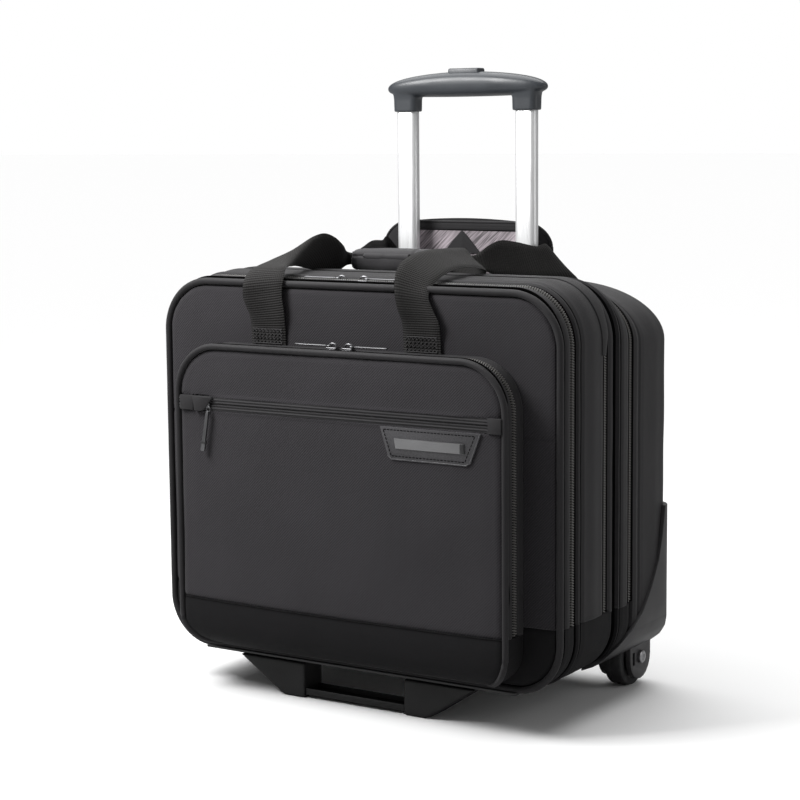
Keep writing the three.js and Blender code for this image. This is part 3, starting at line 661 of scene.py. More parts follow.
def tube(name, line, normals, depth, radius, finish, lift=0.0, closed=False, sides=14):
    """A welt: a fabric-covered cord that follows an outline at one depth."""
    turns = full_turn(sides)
    rows = []
    uvs = []
    way = travelled(line) * MM
    for k, (spot, out) in enumerate(zip(line, normals)):
        centre = spot + out * lift
        wobble = radius * (1 + 0.03 * noise.noise(Vector((spot[0] / 14, depth, spot[1] / 14))))
        for turn in turns:
            across = centre + out * (wobble * math.cos(turn))
            rows.append((across[0], depth + wobble * math.sin(turn), across[1]))
            uvs.append((way[k], turn * radius * MM))
    faces = quads(len(line), sides, True)
    if closed:
        faces += [(len(rows) - sides + i, len(rows) - sides + (i + 1) % sides, (i + 1) % sides, i)
                  for i in range(sides)]
    else:
        faces += [tuple(range(sides)), tuple(range(len(rows) - sides, len(rows)))[::-1]]
    return piece(name, rows, faces, finish, uvs)


WELT_RADIUS = 3.1


def welt(name, line, depth, radius, body, lift=-1.2, *replaced):
    cord = tube(name, line, outward(line), depth, radius, WELT, lift)
    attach(cord, body)
    if replaced:
        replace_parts(cord, *replaced)


def add_front_welts():
    welt("front_welt_cloth", arch(HALF, SEAM, TOP, (TOP_RADIUS, TOP_RADIUS)), 1.4, WELT_RADIUS, "front_panel",
         -1.2, "front_piping")
    welt("front_boot_welt", bag_cradle(0), 1.4, WELT_RADIUS, "root")


def zip_teeth(name, spots, normals, depth, lift, width=5.4, height=1.7, pitch=TOOTH_PITCH):
    """A coil zip's closed teeth: short bars in two rows that mesh along the middle."""
    tangents = np.stack([normals[:, 1], -normals[:, 0]], axis=1)
    points = []
    faces = []
    half = width / 2
    ends = [(-half, 0.0, 0.0), (-half + 0.8, height, 0.0), (0.3, height * 0.8, 0.1), (0.5, 0.0, 0.1)]
    for side in (-1, 1):
        shift = 0.25 * side * pitch
        for spot, out, along in zip(spots, normals, tangents):
            start = len(points)
            for thickness in (-0.2, 0.2):
                for across, up, slant in ends:
                    way = shift + (thickness + slant * side) * pitch
                    flat = spot + along * way + out * (lift + up)
                    points.append((flat[0], depth + side * across, flat[1]))
            faces += [(start + i, start + (i + 1) % 4, start + 4 + (i + 1) % 4,
                       start + 4 + i) for i in range(4)]
            faces += [(start + 3, start + 2, start + 1, start), tuple(start + 4 + i for i in range(4))]
    uvs = [(point[0] * MM, point[1] * MM) for point in points]
    teeth = piece(name, points, faces, COIL, uvs, 30)
    recalculate(teeth)
    return teeth


def recalculate(obj):
    """Turns every face outwards."""
    work = bmesh.new()
    work.from_mesh(obj.data)
    bmesh.ops.recalc_face_normals(work, faces=work.faces)
    work.to_mesh(obj.data)
    work.free()


def tape(name, line_at, start, end, lift, body, *replaced):
    """Half of a zip's woven tape."""
    strip = sweep(name, line_at, spaced(start, end, 0.9), lift, TAPE, rough=0.1)
    thicken(strip, 0.8)
    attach(strip, body)
    if replaced:
        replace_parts(strip, *replaced)


def add_zip(name, line_at, depth, lift, front_body, back_body, node):
    """A zip round an arch: its front tape on one body, and its teeth and back tape on the next."""
    def sunk(_, facing):
        return lift(depth, facing)

    tape(f"{name}_front_tape", line_at, depth - TAPE_HALF + 0.2, depth - 0.2, sunk, front_body)
    tape(f"{name}_back_tape", line_at, depth + 0.2, depth + TAPE_HALF - 0.2, sunk, back_body, node)
    line = line_at(depth)
    spots, normals = respaced(line, TOOTH_PITCH)
    lifts = np.array([lift(depth, facing) for facing in normals[:, 1]])
    teeth = zip_teeth(f"{name}_teeth", spots + normals * lifts[:, None], normals, depth, 0.0)
    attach(teeth, back_body)


def crease(name, line, normals, depth, lifts, radius, body):
    """A near-black cord laid along a sewn crease: painted shade at the crease's bottom."""
    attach(tube(name, line + normals * np.asarray(lifts)[:, None], normals, depth, radius, SHADE_AND_THREAD, sides=8),
            body)


# Where the painted crease shades lie: depth, how far out of the plain outline, more of that on top, radius,
# body
CREASE_SHADES = [(8.0, -2.2, 2.3, 1.3, "front_panel"), (27.0, -1.7, 0, 1.5, "middle_module"),
           (35.6, -1.1, 0.4, 1.2, "middle_module"), (76.5, -0.5, 0, 1.3, "middle_module"),
           (86.0, -1.6, 0, 1.4, "rear_module"), (100.0, -2.4, 0.8, 2.7, "rear_module"),
           (107.8, 0.3, 0, 1.3, "rear_module"), (125.5, -0.5, 0, 1.4, "rear_module"),
           (135.1, -1.2, 0, 1.5, "root")]
BOOT_CREASES = [(8.0, -1.5, 1.2), (27.0, -1.2, 1.3), (35.6, -0.8, 1.1), (100.0, -2.0, 2.4),
                (107.8, -0.2, 1.2)]


def add_crease_shades():
    """Near-black cords of painted shade in the creases between the bag's bands, over the arch and round the
    boot.
    """
    for y, lift, raised, radius, body in CREASE_SHADES:
        line = bag_arch(y)
        normals = outward(line)
        lifts = [lift + max(facing, 0) ** 2 * (eased(CROWN, y) + raised) for facing in normals[:, 1]]
        crease(f"crease_{round(y)}", line, normals, y, lifts, radius, body)
    for y, lift, radius in BOOT_CREASES:
        line = bag_cradle(y)
        crease(f"boot_crease_{round(y)}", line, outward(line), y, np.full(len(line), lift), radius, "root")
    inset = 4.1
    line = arch(HALF - inset, SEAM, TOP - inset, (TOP_RADIUS - inset, TOP_RADIUS - inset))
    crease("panel_crease", line, outward(line), 3.6, np.zeros(len(line)), 1.0, "front_panel")
    line = cradle(HALF - inset, BOTTOM + inset, SEAM, BASE_RADIUS - inset)
    crease("front_boot_crease", line, outward(line), 3.6, np.zeros(len(line)), 0.9, "root")
    radius = POCKET_RADIUS - inset
    line = arch(POCKET_HALF - inset, POCKET_SEAM, POCKET_TOP - inset, (radius, radius))
    crease("pocket_crease", line, outward(line), POCKET_FRONT + 3.0, np.zeros(len(line)), 1.0, "pocket_lid")
    line = pocket_arch(POCKET_FRONT + 6.5)
    normals = outward(line)
    lifts = [-1.0 + 1.6 * max(facing, 0) ** 2 for facing in normals[:, 1]]
    crease("pocket_edge_crease", line, normals, POCKET_FRONT + 6.5, lifts, 1.2, "pocket_lid")


def zip_lift(y, facing):
    """Zip tapes lie in the groove between two gussets."""
    up = max(facing, 0) ** 2
    return -1.6 + up * eased(CROWN, y)


def add_modules():
    middle_cloth = sweep("middle_module_cloth", bag_arch,
                         spaced(ZIP_A + TAPE_HALF, ZIP_B - TAPE_HALF, 1.2, SIDE_SWELL), swell, PLAIN)
    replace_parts(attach(thicken(middle_cloth), "middle_module"), "middle_module")
    rear_depths = spaced(ZIP_B + TAPE_HALF, ZIP_C - TAPE_HALF, 1.2, SIDE_SWELL)
    rear_cloth = sweep("rear_module_cloth", lambda y: bag_arch(y, SEAM - 1), rear_depths, swell, PLAIN)
    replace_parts(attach(thicken(rear_cloth), "rear_module"), "rear_module")
    add_divider("middle_module")
    add_divider("rear_module")
    add_zip("front_zip", bag_arch, ZIP_A, zip_lift, "front_panel", "middle_module", "zipper_front")
    add_zip("middle_zip", bag_arch, ZIP_B, zip_lift, "middle_module", "rear_module", "zipper_middle")
    add_zip("rear_zip", bag_arch, ZIP_C, zip_lift, "rear_module", "root", "zipper_rear")


def add_divider(body):
    """The cloth wall at a page's front, which parts its compartment from the one before."""
    y = low(body)[1] + 1.6
    half = HALF - 5
    top = eased(TOP_HEIGHT, y) - 5
    bend, rise = eased(SHELL_BEND, y), eased(CORNER_HEIGHT, y)
    wall = face_panel(f"{body}_divider", half, lambda _: SEAM + 2,
                      lambda x: corner_top(x, half, top, bend, rise),
                      np.linspace(0, 1, 40), lambda x, z: y + 0.5 * uneven(x, y, z, 55, 1.0), BOOT_WITH_SHADE)
    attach(thicken(wall, 1.0), body)


def base_swell(y, _):
    return eased(BASE_SWELL, y)


def cut_away(obj, inside):
    """Deletes the faces whose middle passes the test inside(x, y, z), in case millimetres."""
    work = bmesh.new()
    work.from_mesh(obj.data)
    gone = []
    for face in work.faces:
        x, y, z = face.calc_center_median() / MM
        if inside(x, y - FRONT / MM, z):
            gone.append(face)
    bmesh.ops.delete(work, geom=gone, context="FACES")
    work.to_mesh(obj.data)
    work.free()


# How far round a tyre the cloth is cut away: inwards, upwards and forwards
WELL_ROOM = (12, 6, 7)
# How far inside a moulding's sides, and inside its front and back, its opening lies
OPENING_INSET = (2, 1)
# How far below the moulding's foot the opening starts
OPENING_DEPTH = 12


def drop_wheel_wells(obj):
    """Cuts the cloth away where the wheel housings sit in it."""
    inner = low("wheel_tyre_right")[0] - WELL_ROOM[0]
    top = high("wheel_tyre_right")[2] + WELL_ROOM[1]
    front = low("wheel_tyre_right")[1] - WELL_ROOM[2]
    cut_away(obj, lambda x, y, z: abs(x) > inner and y > front and z < top)


def open_top(obj, node):
    """Cuts the cloth away under a moulding that the tubes come up through."""
    x0, y0, z0 = low(node)
    x1, y1, _ = high(node)
    sides, ends = OPENING_INSET
    cut_away(obj, lambda x, y, z: (x0 + sides < x < x1 - sides and y0 + ends < y < y1 - ends
                                   and z > z0 - OPENING_DEPTH))


def add_base_and_shell():
    boot = sweep("boot_cloth", bag_cradle, spaced(2, ZIP_C + TAPE_HALF, 1.2, BASE_SWELL), base_swell, BOOT_WITH_SHADE)
    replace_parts(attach(thicken(boot), "root"), "base_tray")
    rounding = [(BACK - BACK_RADIUS + BACK_RADIUS * math.sin(a), BACK_RADIUS * (1 - math.cos(a)))
                for a in np.radians(np.linspace(0, 84, 15))]
    flat_depths = spaced(ZIP_C + TAPE_HALF, BACK - BACK_RADIUS, 1.3, SIDE_SWELL)
    depths = flat_depths + [entry[0] for entry in rounding[1:]]
    drawn_in = {round(y, 4): inset for y, inset in rounding}

    def shell_lift(y, facing):
        swelled = eased(SIDE_SWELL, y) * (1 - 0.7 * max(-facing, 0)) + max(facing, 0) ** 2 * eased(CROWN, y)
        return swelled - drawn_in.get(round(y, 4), 0.0)

    shell = sweep("rear_shell_cloth", bag_ring, depths, shell_lift, PLAIN, True, 0.5)
    drop_wheel_wells(shell)
    open_top(shell, "tube_bezel")
    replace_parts(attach(thicken(shell), "root"), "rear_shell")


def add_back_panel():
    """The flat back, with a welt round it where it is sewn to the shell."""
    inset = BACK_RADIUS - 1.5
    half, bottom, top = HALF - inset, BOTTOM + inset, SHELL_TOP - inset
    rx, rz, base = 100 - inset, 52 - inset, BASE_RADIUS - inset

    def depth_at(x, z):
        edge = min(half - abs(x), z - bottom, corner_top(x, half, top, rx, rz) - z)
        shoulder = eased([(0, -2.0), (4, -0.8), (12, 0.0), (60, 0.8)], edge)
        return BACK - 0.4 + shoulder + uneven(x, 3, z, 70, 0.5)

    rows = edge_shares(top - bottom, True, True, 60)
    panel = face_panel("back_panel_cloth", half, lambda x: corner_bottom(x, half, bottom, base),
                       lambda x: corner_top(x, half, top, rx, rz), rows, depth_at, PLAIN)
    drop_wheel_wells(panel)
    flip(panel)
    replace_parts(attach(thicken(panel), "root"), "back_panel")
    line = ring(half, bottom, top, (rx, rz), base)
    edge_cord = tube("back_welt", line, outward(line, True), BACK - 2.0, 2.0, WELT, 0.3, True)
    drop_wheel_wells(edge_cord)
    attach(edge_cord, "root")


def flip(obj):
    obj.data.flip_normals()


# ---- Small solids ----

class Build:
    """Collects small closed solids, in case millimetres, into one mesh."""

    def __init__(self):
        self.work = bmesh.new()

    def block(self, centre, size, edge=0.4, top=1.0, turn=0.0, about="Y", steps=2):
        """A block with rounded edges. top narrows its upper face, and turn leans it, in degrees."""
        made = bmesh.ops.create_cube(self.work, size=1)
        verts = made["verts"]
        for vert in verts:
            narrow = top if vert.co.z > 0 else 1.0
            vert.co = Vector((vert.co.x * size[0] * narrow, vert.co.y * size[1] * narrow,
                              vert.co.z * size[2]))
        if edge:
            edges = list({e for v in verts for e in v.link_edges})
            bevelled = bmesh.ops.bevel(self.work, geom=edges, offset=edge, segments=steps, affect="EDGES",
                                       profile=0.5)
            verts = list({v for f in bevelled["faces"] for v in f.verts} | {v for v in verts if v.is_valid})
        spin = Matrix.Rotation(math.radians(turn), 4, about)
        for vert in verts:
            vert.co = spin @ vert.co + Vector(centre)

    def join_rings(self, rings, closed=False):
        """Faces between each ring of vertices and the next, and from the last to the first if closed."""
        following = rings[1:] + rings[:1] if closed else rings[1:]
        for here, there in zip(rings, following):
            for k in range(len(here)):
                right = (k + 1) % len(here)
                self.work.faces.new((here[k], here[right], there[right], there[k]))

    def rope(self, points, radius, sides=10, closed=False, flat=1.0, ends=True):
        """A round bar along points. flat squeezes it towards its path's own plane."""
        rows = []
        path = [Vector(point) for point in points]
        count = len(path)
        up = Vector((0, 0, 1))
        for i, spot in enumerate(path):
            before = path[i - 1] if i or closed else path[0]
            after = path[(i + 1) % count] if i < count - 1 or closed else path[-1]
            ahead = (after - before).normalized()
            side = ahead.cross(up)
            if side.length < 0.2:
                side = ahead.cross(Vector((0, 1, 0)))
            side.normalize()
            lift = side.cross(ahead).normalized()
            ring_radius = radius(i / max(count - 1, 1)) if callable(radius) else radius
            around = []
            for a in full_turn(sides):
                across = side * (ring_radius * math.cos(a))
                upward = lift * (flat * ring_radius * math.sin(a))
                around.append(self.work.verts.new(spot + across + upward))
            rows.append(around)
        self.join_rings(rows, closed)
        if ends and not closed:
            self.work.faces.new(rows[0][::-1])
            self.work.faces.new(rows[-1])

    def slab(self, outline_points, near, far, edge=0.4):
        """An upright outline of (x, z) points given thickness along y, with rounded rims."""
        centre = np.mean(np.array(outline_points), axis=0)
        rings = []
        for y, shrink in ((far, 0.0), (near + edge, 0.0), (near + edge * 0.3, edge * 0.3), (near, edge)):
            ring_verts = []
            for x, z in outline_points:
                away = Vector((x - centre[0], z - centre[1]))
                pull = away.normalized() * shrink if away.length > shrink else away * 0
                ring_verts.append(self.work.verts.new((x - pull.x, y, z - pull.y)))
            rings.append(ring_verts)
        self.join_rings(rings)
        self.work.faces.new(rings[0])
        self.work.faces.new(rings[-1][::-1])

    def finish(self, name, finish, sharp=40, uv=False):
        bmesh.ops.recalc_face_normals(self.work, faces=self.work.faces)
        self.work.verts.index_update()
        points = [tuple(vert.co) for vert in self.work.verts]
        faces = [[vert.index for vert in face.verts] for face in self.work.faces]
        self.work.free()
        uvs = [(x * MM, z * MM) for x, _, z in points] if uv else None
        return piece(name, points, faces, finish, uvs, sharp)


def rope_piece(name, points, radius, finish, body, closed=False, sides=12, uv=True):
    build = Build()
    build.rope(points, radius, sides, closed)
    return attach(build.finish(name, finish, uv=uv), body)


def rounded_copy(node, name, finish, width, segments=3, angle=30):
    """A CAD node's own shape with its sharp edges rounded over."""
    made = bpy.data.objects.new(name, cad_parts[node].data.copy())
    bpy.context.collection.objects.link(made)
    made.data.materials.clear()
    made.data.materials.append(finish)
    work = bmesh.new()
    work.from_mesh(made.data)
    bmesh.ops.remove_doubles(work, verts=work.verts, dist=0.00002)
    bmesh.ops.dissolve_limit(work, angle_limit=math.radians(1), verts=work.verts, edges=work.edges)
    work.to_mesh(made.data)
    work.free()
    bevel = made.modifiers.new("edges", "BEVEL")
    bevel.width = width * MM
    bevel.segments = segments
    bevel.limit_method = "ANGLE"
    bevel.angle_limit = math.radians(angle)
    settle(made)
    smooth(made, 35)
    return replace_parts(made, node)


def melted(obj, voxel, rounds, factor=0.5):
    """Joins a mesh's overlapping solids into one skin and softens it."""
    remesh = obj.modifiers.new("skin", "REMESH")
    remesh.mode = "VOXEL"
    remesh.voxel_size = voxel * MM
    relax = obj.modifiers.new("relax", "SMOOTH")
    relax.factor = factor
    relax.iterations = rounds
    settle(obj)
    smooth(obj, 80)
    return obj


# ---- Front pocket ----

POCKET_BEND = {"z": 68, "y": -7.5}


def pocket_bottom_depth(z):
    """The pocket's face curves back to the panel below its bend."""
    if z >= POCKET_BEND["z"]:
        return POCKET_FRONT
    share = (POCKET_BEND["z"] - z) / (POCKET_BEND["z"] - POCKET_BOTTOM)
    return POCKET_BEND["y"] + (POCKET_FRONT - POCKET_BEND["y"]) * math.sqrt(max(1 - share * share, 0))


POCKET_FOLD = [(0, 2.4), (2.0, 2.2), (3.2, 2.8), (5.0, 0.6), (9, -0.6), (24, -1.3), (80, -2.0)]
SLIP_LIP = 6.4


def pocket_seam(x):
    return POCKET_SEAM + 0.4 - 1.6 * math.cos(x / POCKET_HALF * math.pi / 2)


def pocket_depth(x, z):
    inset = inset_from(x, z, POCKET_HALF, POCKET_BOTTOM, POCKET_TOP, POCKET_RADIUS, POCKET_BASE_RADIUS)
    fold = eased(POCKET_FOLD, inset)
    if z < POCKET_BEND["z"]:
        fold = min(fold, 2.0) * 0.6
    seam = seam_dip(z - pocket_seam(x), 2.0, 1.3)
    slip = 0.0
    off_zip = abs(z - SLIP_Z)
    if abs(x) < SLIP_HALF + 4:
        slip = eased([(0, 2.0), (SLIP_LIP - 1.2, 2.0), (SLIP_LIP, -0.5), (SLIP_LIP + 1.6, -0.3),
                      (SLIP_LIP + 3, 0)], off_zip)
    soft = uneven(x, 9, z, 55, 0.8) + 0.5 * math.sin(x / 90) * math.sin(z / 55)
    return pocket_bottom_depth(z) + fold + seam + slip + soft


POCKET_SWELL = [
    (-31.5, -2.4), (-28, -2.0), (-25.6, 0.3), (-22, 0.5), (-19.4, -1.5), (-11.6, -1.5), (-9, 0.3), (-4, 0.7),
    (0, -0.4)]


def pocket_swell(y, _):
    return eased(POCKET_SWELL, y)


def pocket_arch(_):
    """The pocket's outline, which is the same at every depth."""
    return arch(POCKET_HALF, POCKET_SEAM, POCKET_TOP, (POCKET_RADIUS, POCKET_RADIUS))


def add_pocket():
    rows = sorted(set(edge_shares(POCKET_TOP - POCKET_SEAM, False, True,
                                  90) + list(np.linspace(0.69, 0.83, 40))))
    face = face_panel("pocket_face", POCKET_HALF, pocket_seam,
                      lambda x: corner_top(x, POCKET_HALF, POCKET_TOP, POCKET_RADIUS, POCKET_RADIUS), rows,
                      pocket_depth, TWILL)
    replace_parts(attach(thicken(face), "pocket_lid"), "pocket_lid")
    boot = face_panel("pocket_boot", POCKET_HALF,
                      lambda x: corner_bottom(x, POCKET_HALF, POCKET_BOTTOM, POCKET_BASE_RADIUS), pocket_seam,
                      edge_shares(POCKET_SEAM - POCKET_BOTTOM, True, False, 18), pocket_depth, BOOT_WITH_SHADE)
    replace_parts(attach(thicken(boot), "root"), "pocket_base")
    lid_side = sweep("pocket_lid_gusset", pocket_arch, spaced(POCKET_FRONT + 1.5, ZIP_P - TAPE_HALF),
                     pocket_swell, PLAIN)
    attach(thicken(lid_side), "pocket_lid")
    frame_side = sweep("pocket_frame_gusset", pocket_arch, spaced(ZIP_P + TAPE_HALF, -0.6), pocket_swell,
                       PLAIN)
    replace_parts(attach(thicken(frame_side), "front_panel"), "pocket_frame")
    add_zip("pocket_zip", pocket_arch, ZIP_P, lambda *_: -1.4, "pocket_lid", "front_panel", "zipper_pocket")
    line = pocket_arch(0)
    welt("pocket_welt", line, POCKET_FRONT + 0.8, 2.8, "pocket_lid", -0.9, "pocket_piping")
    add_pocket_base_sides()


def add_pocket_base_sides():
    """The boot's own narrow sides, from the welt back to the front panel."""
    line = cradle(POCKET_HALF, POCKET_BOTTOM, POCKET_SEAM, POCKET_BASE_RADIUS, 16, 60, 14)
    out = outward(line)
    fronts = np.array([pocket_bottom_depth(z) for x, z in line])
    rows = []
    uvs = []
    way = travelled(line)
    for share in np.linspace(0.02, 1, 16):
        depths = fronts + (-0.3 - fronts) * share
        lift = 0.9 * math.sin(math.pi * share) - 0.6
        spots = line + out * lift
        rows.append(np.stack([spots[:, 0], depths, spots[:, 1]], axis=1))
        uvs.append(np.stack([way, depths], axis=1) * MM)
    side = piece("pocket_boot_sides", np.concatenate(rows), quads(len(rows), len(line)), BOOT_WITH_SHADE,
                 np.concatenate(uvs))
    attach(thicken(side), "root")
    cord = [(x + nx * -0.9, y + 0.8, z + nz * -0.9) for (x, z), (nx, nz), y in zip(line, out, fronts)]
    rope_piece("pocket_boot_welt", cord, 2.7, WELT, "root")


def add_slip_zip():
    """A concealed zip: two ridged bands meet in a slot, and a folded garage covers its left end."""
    x_places = np.linspace(-SLIP_HALF, SLIP_HALF, 90)
    points = []
    uvs = []
    bands = np.linspace(-6.5, 6.5, 53)
    for up in bands:
        back = 0.35 * math.cos(2 * math.pi * up / 2.6)
        back += eased([(0, 0.6), (0.5, 0.5), (1.1, 0), (5.6, 0), (6.5, 1.6)], abs(up))
        for x in x_places:
            points.append((x, POCKET_FRONT - 2.0 + back + uneven(x, 1, up, 40, 0.2), SLIP_Z + up))
            uvs.append((x * MM, up * MM))
    strip = piece("slip_zip_tape", points, quads(len(bands), len(x_places)), PLAIN, uvs)
    recalculate(strip)
    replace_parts(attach(thicken(strip, 0.6), "pocket_lid"), "zipper_slip")
    left = middle("slip_slider")[0]
    right = SLIP_HALF - 11
    build = Build()
    for start, end in ((left - 28.5, left - 13.4), (right, SLIP_HALF + 2)):
        tab = [(start, SLIP_Z + 6.8), (start, SLIP_Z - 6.6), (end, SLIP_Z - 6.6), (end, SLIP_Z + 6.8)]
        build.slab(tab, POCKET_FRONT - 3.2, POCKET_FRONT - 0.8, 0.7)
    garage = [(left - 13.0, SLIP_Z + 6.8), (left - 11, SLIP_Z - 6.8), (left - 4, SLIP_Z - 6.8),
              (left + 1, SLIP_Z - 5.0),
              (left + 9.2, SLIP_Z + 5.6), (left + 8, SLIP_Z + 7.0)]
    build.slab(garage, POCKET_FRONT - 5.2, POCKET_FRONT - 1.2, 0.8)
    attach(build.finish("slip_zip_garage", PLAIN, uv=True), "pocket_lid")
    # Near-black cords along the zip's top and bottom grooves: painted shade.
    for z in (-7.4, 7.4):
        groove = [(x, POCKET_FRONT - 0.2, SLIP_Z + z) for x in np.linspace(left - 12, right, 40)]
        rope_piece(f"slip_groove_shade_{'low' if z < 0 else 'top'}", groove, 0.8, SHADE_AND_THREAD, "pocket_lid")


def stitched_line(build, corners, inset_y, pitch=3.4, share=0.68, radius=0.32):
    """Running stitches along straight stretches between (x, z) corners."""
    for start, end in zip(corners, corners[1:]):
        way = math.dist(start, end)
        count = max(1, int(way / pitch))
        for i in range(count):
            ends = []
            for at in (i + (1 - share) / 2, i + (1 + share) / 2):
                part = at / count
                ends.append((start[0] + (end[0] - start[0]) * part, inset_y,
                             start[1] + (end[1] - start[1]) * part))
            centre = tuple((a + b) / 2 for a, b in zip(*ends))
            high_middle = (centre[0], inset_y - radius * 0.5, centre[2])
            build.rope([ends[0], high_middle, ends[1]], radius, 6)


def add_badge():
    left, _, base = low("badge_patch")
    right, _, top = high("badge_patch")
    face = POCKET_FRONT - 1.3
    patch = [(left, top), (left + 8, base + 3), (left + 12, base), (right - 14, base),
             (right - 10, base + 2.4), (right, top)]
    build = Build()
    build.slab(patch, face - 2.0, face + 0.8, 0.9)
    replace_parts(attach(build.finish("badge_patch_leather", LEATHER), "pocket_lid"), "badge_patch")
    rim = 2.6
    stitches = Build()
    border = [(left + 4, top - rim), (left + 12, base + rim), (right - 15, base + rim),
              (right - 5, top - rim), (left + 4, top - rim)]
    stitched_line(stitches, border, face - 2.05)
    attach(stitches.finish("badge_stitches", SHADE_AND_THREAD, uv=True), "pocket_lid")
    edge = Build()
    edge.rope([(x, face - 1.3, z) for x, z in patch[1:]], 0.9, 8)
    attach(edge.finish("badge_rim", LEATHER, uv=True), "pocket_lid")
    plate_left, _, plate_base = low("badge_plate")
    plate_right, _, plate_top = high("badge_plate")
    plate = [(plate_left, plate_top), (plate_left + 1.6, plate_base), (plate_right, plate_base),
             (plate_right, plate_top)]
    metal_plate = Build()
    metal_plate.slab(plate, face - 3.4, face - 1.8, 1.5)
    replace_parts(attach(metal_plate.finish("badge_plate_metal", PLATE), "pocket_lid"), "badge_plate")
    # A black strip over the plate's right end: painted shade on the plate's right facet.
    facet = Build()
    facet.block((plate_right - 2.1, face - 3.2, (plate_base + plate_top) / 2),
                (4.2, 0.9, plate_top - plate_base - 0.6), 0.3)
    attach(facet.finish("badge_plate_shade_strip", BLACK), "pocket_lid")


# ---- Zip sliders ----

def slider_parts(build, x, y, z):
    """A slider: two shaped plates, joined by a post, with a wire bridge over the top."""
    build.block((x, y, z + 2.3), (11.5, 7.6, 1.2), 0.5, 0.9)
    build.block((x, y, z + 0.7), (11.0, 7.2, 1.0), 0.4)
    build.block((x, y, z + 1.5), (4.0, 2.0, 1.6), 0.3)
    arc = [(x - 4.2 * math.cos(a), y, z + 2.6 + 3.6 * math.sin(a)) for a in np.linspace(0, math.pi, 11)]
    build.rope(arc, 0.85, 8)


def pull_parts(build, x, y, z, side, length):
    """A long pull tab: an eye round the bridge, a slim waisted bar and a thicker tip."""
    eye = [(x + side * (3.6 + 2.6 * math.cos(a)), y + 1.7 * math.sin(a), z) for a in full_turn(14)]
    build.rope(eye, 0.65, 8, closed=True)
    stations = [(5.8, 0.9), (8, 1.5), (12, 1.9), (length * 0.6, 1.6), (length * 0.84, 2.0),
                (length - 1.5, 2.2), (length, 1.4)]
    bar = [(x + side * way, y, z) for way, _ in stations]
    widths = [width for _, width in stations]
    build.rope(bar, lambda share: float(np.interp(share, np.linspace(0, 1, len(widths)), widths)), 10,
               flat=0.42)


def add_sliders():
    for name in ("pocket_slider", "front_slider"):
        for word, side in (("left", -1), ("right", 1)):
            x, y, _ = middle(f"{name}_{word}")
            z = low(f"{name}_{word}")[2]
            body = Build()
            slider_parts(body, x, y, z)
            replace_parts(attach(body.finish(f"{name}_body_{word}", CHROME), f"{name}_{word}"),
                        f"{name}_{word}")
            pull = Build()
            node = f"{name}_pull_{word}"
            reach = max(abs(low(node)[0] - x), abs(high(node)[0] - x))
            pull_parts(pull, x, y, middle(node)[2], side, reach)
            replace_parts(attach(pull.finish(f"{name}_tab_{word}", CHROME), node), node)
    for name in ("middle_slider", "rear_slider"):
        for word, side in (("left", -1), ("right", 1)):
            node = f"{name}_{word}"
            far = low(node)[0] if side < 0 else high(node)[0]
            near = high(node)[0] if side < 0 else low(node)[0]
            x = near + side * 6
            y, z = middle(node)[1], low(node)[2]
            both = Build()
            slider_parts(both, x, y, z)
            pull_parts(both, x, y, z + 4.1, side, abs(far - x))
            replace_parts(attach(both.finish(f"{name}_metal_{word}", CHROME), node), node)


def add_slip_slider():
    x, y, z = middle("slip_slider")
    body = Build()
    body.block((x, y + 0.3, z), (12, 2.0, 7.6), 0.7)
    hoop = [(x + 5 + 2.0 * math.cos(a), y - 0.6, z - 4.6 + 2.2 * math.sin(a)) for a in full_turn(14)]
    body.rope(hoop, 0.5, 8, closed=True)
    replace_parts(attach(body.finish("slip_slider_metal", CHROME), "slip_slider"), "slip_slider")
    top, bottom = high("slip_slider_pull")[2] - 2, low("slip_slider_pull")[2]
    front = low("slip_slider_pull")[1]
    lean = 6.6 / (top - bottom)
    right_side = [(1.3, top), (1.6, top - 6), (1.9, bottom + 9), (2.3, bottom + 6), (2.3, bottom + 0.8),
                  (1.6, bottom)]
    shape = [(x + 5.0 - half - lean * (top - z), z) for half, z in right_side]
    shape += [(x + 5.0 + half - lean * (top - z), z) for half, z in right_side[::-1]]
    pull = Build()
    pull.slab(shape, front + 0.4, front + 2.2, 0.5)
    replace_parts(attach(pull.finish("slip_slider_tab", CHROME), "slip_slider_pull"), "slip_slider_pull")
    tip_x = x + 5.0 - lean * (top - bottom - 8)
    tip = Build()
    tip.block((tip_x, front + 1.3, bottom + 8), (6.0, 2.6, 3.0), 0.8)
    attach(tip.finish("slip_slider_tip", BLACK), "slip_slider_pull")


# ---- Carry handles ----

WEB = 38

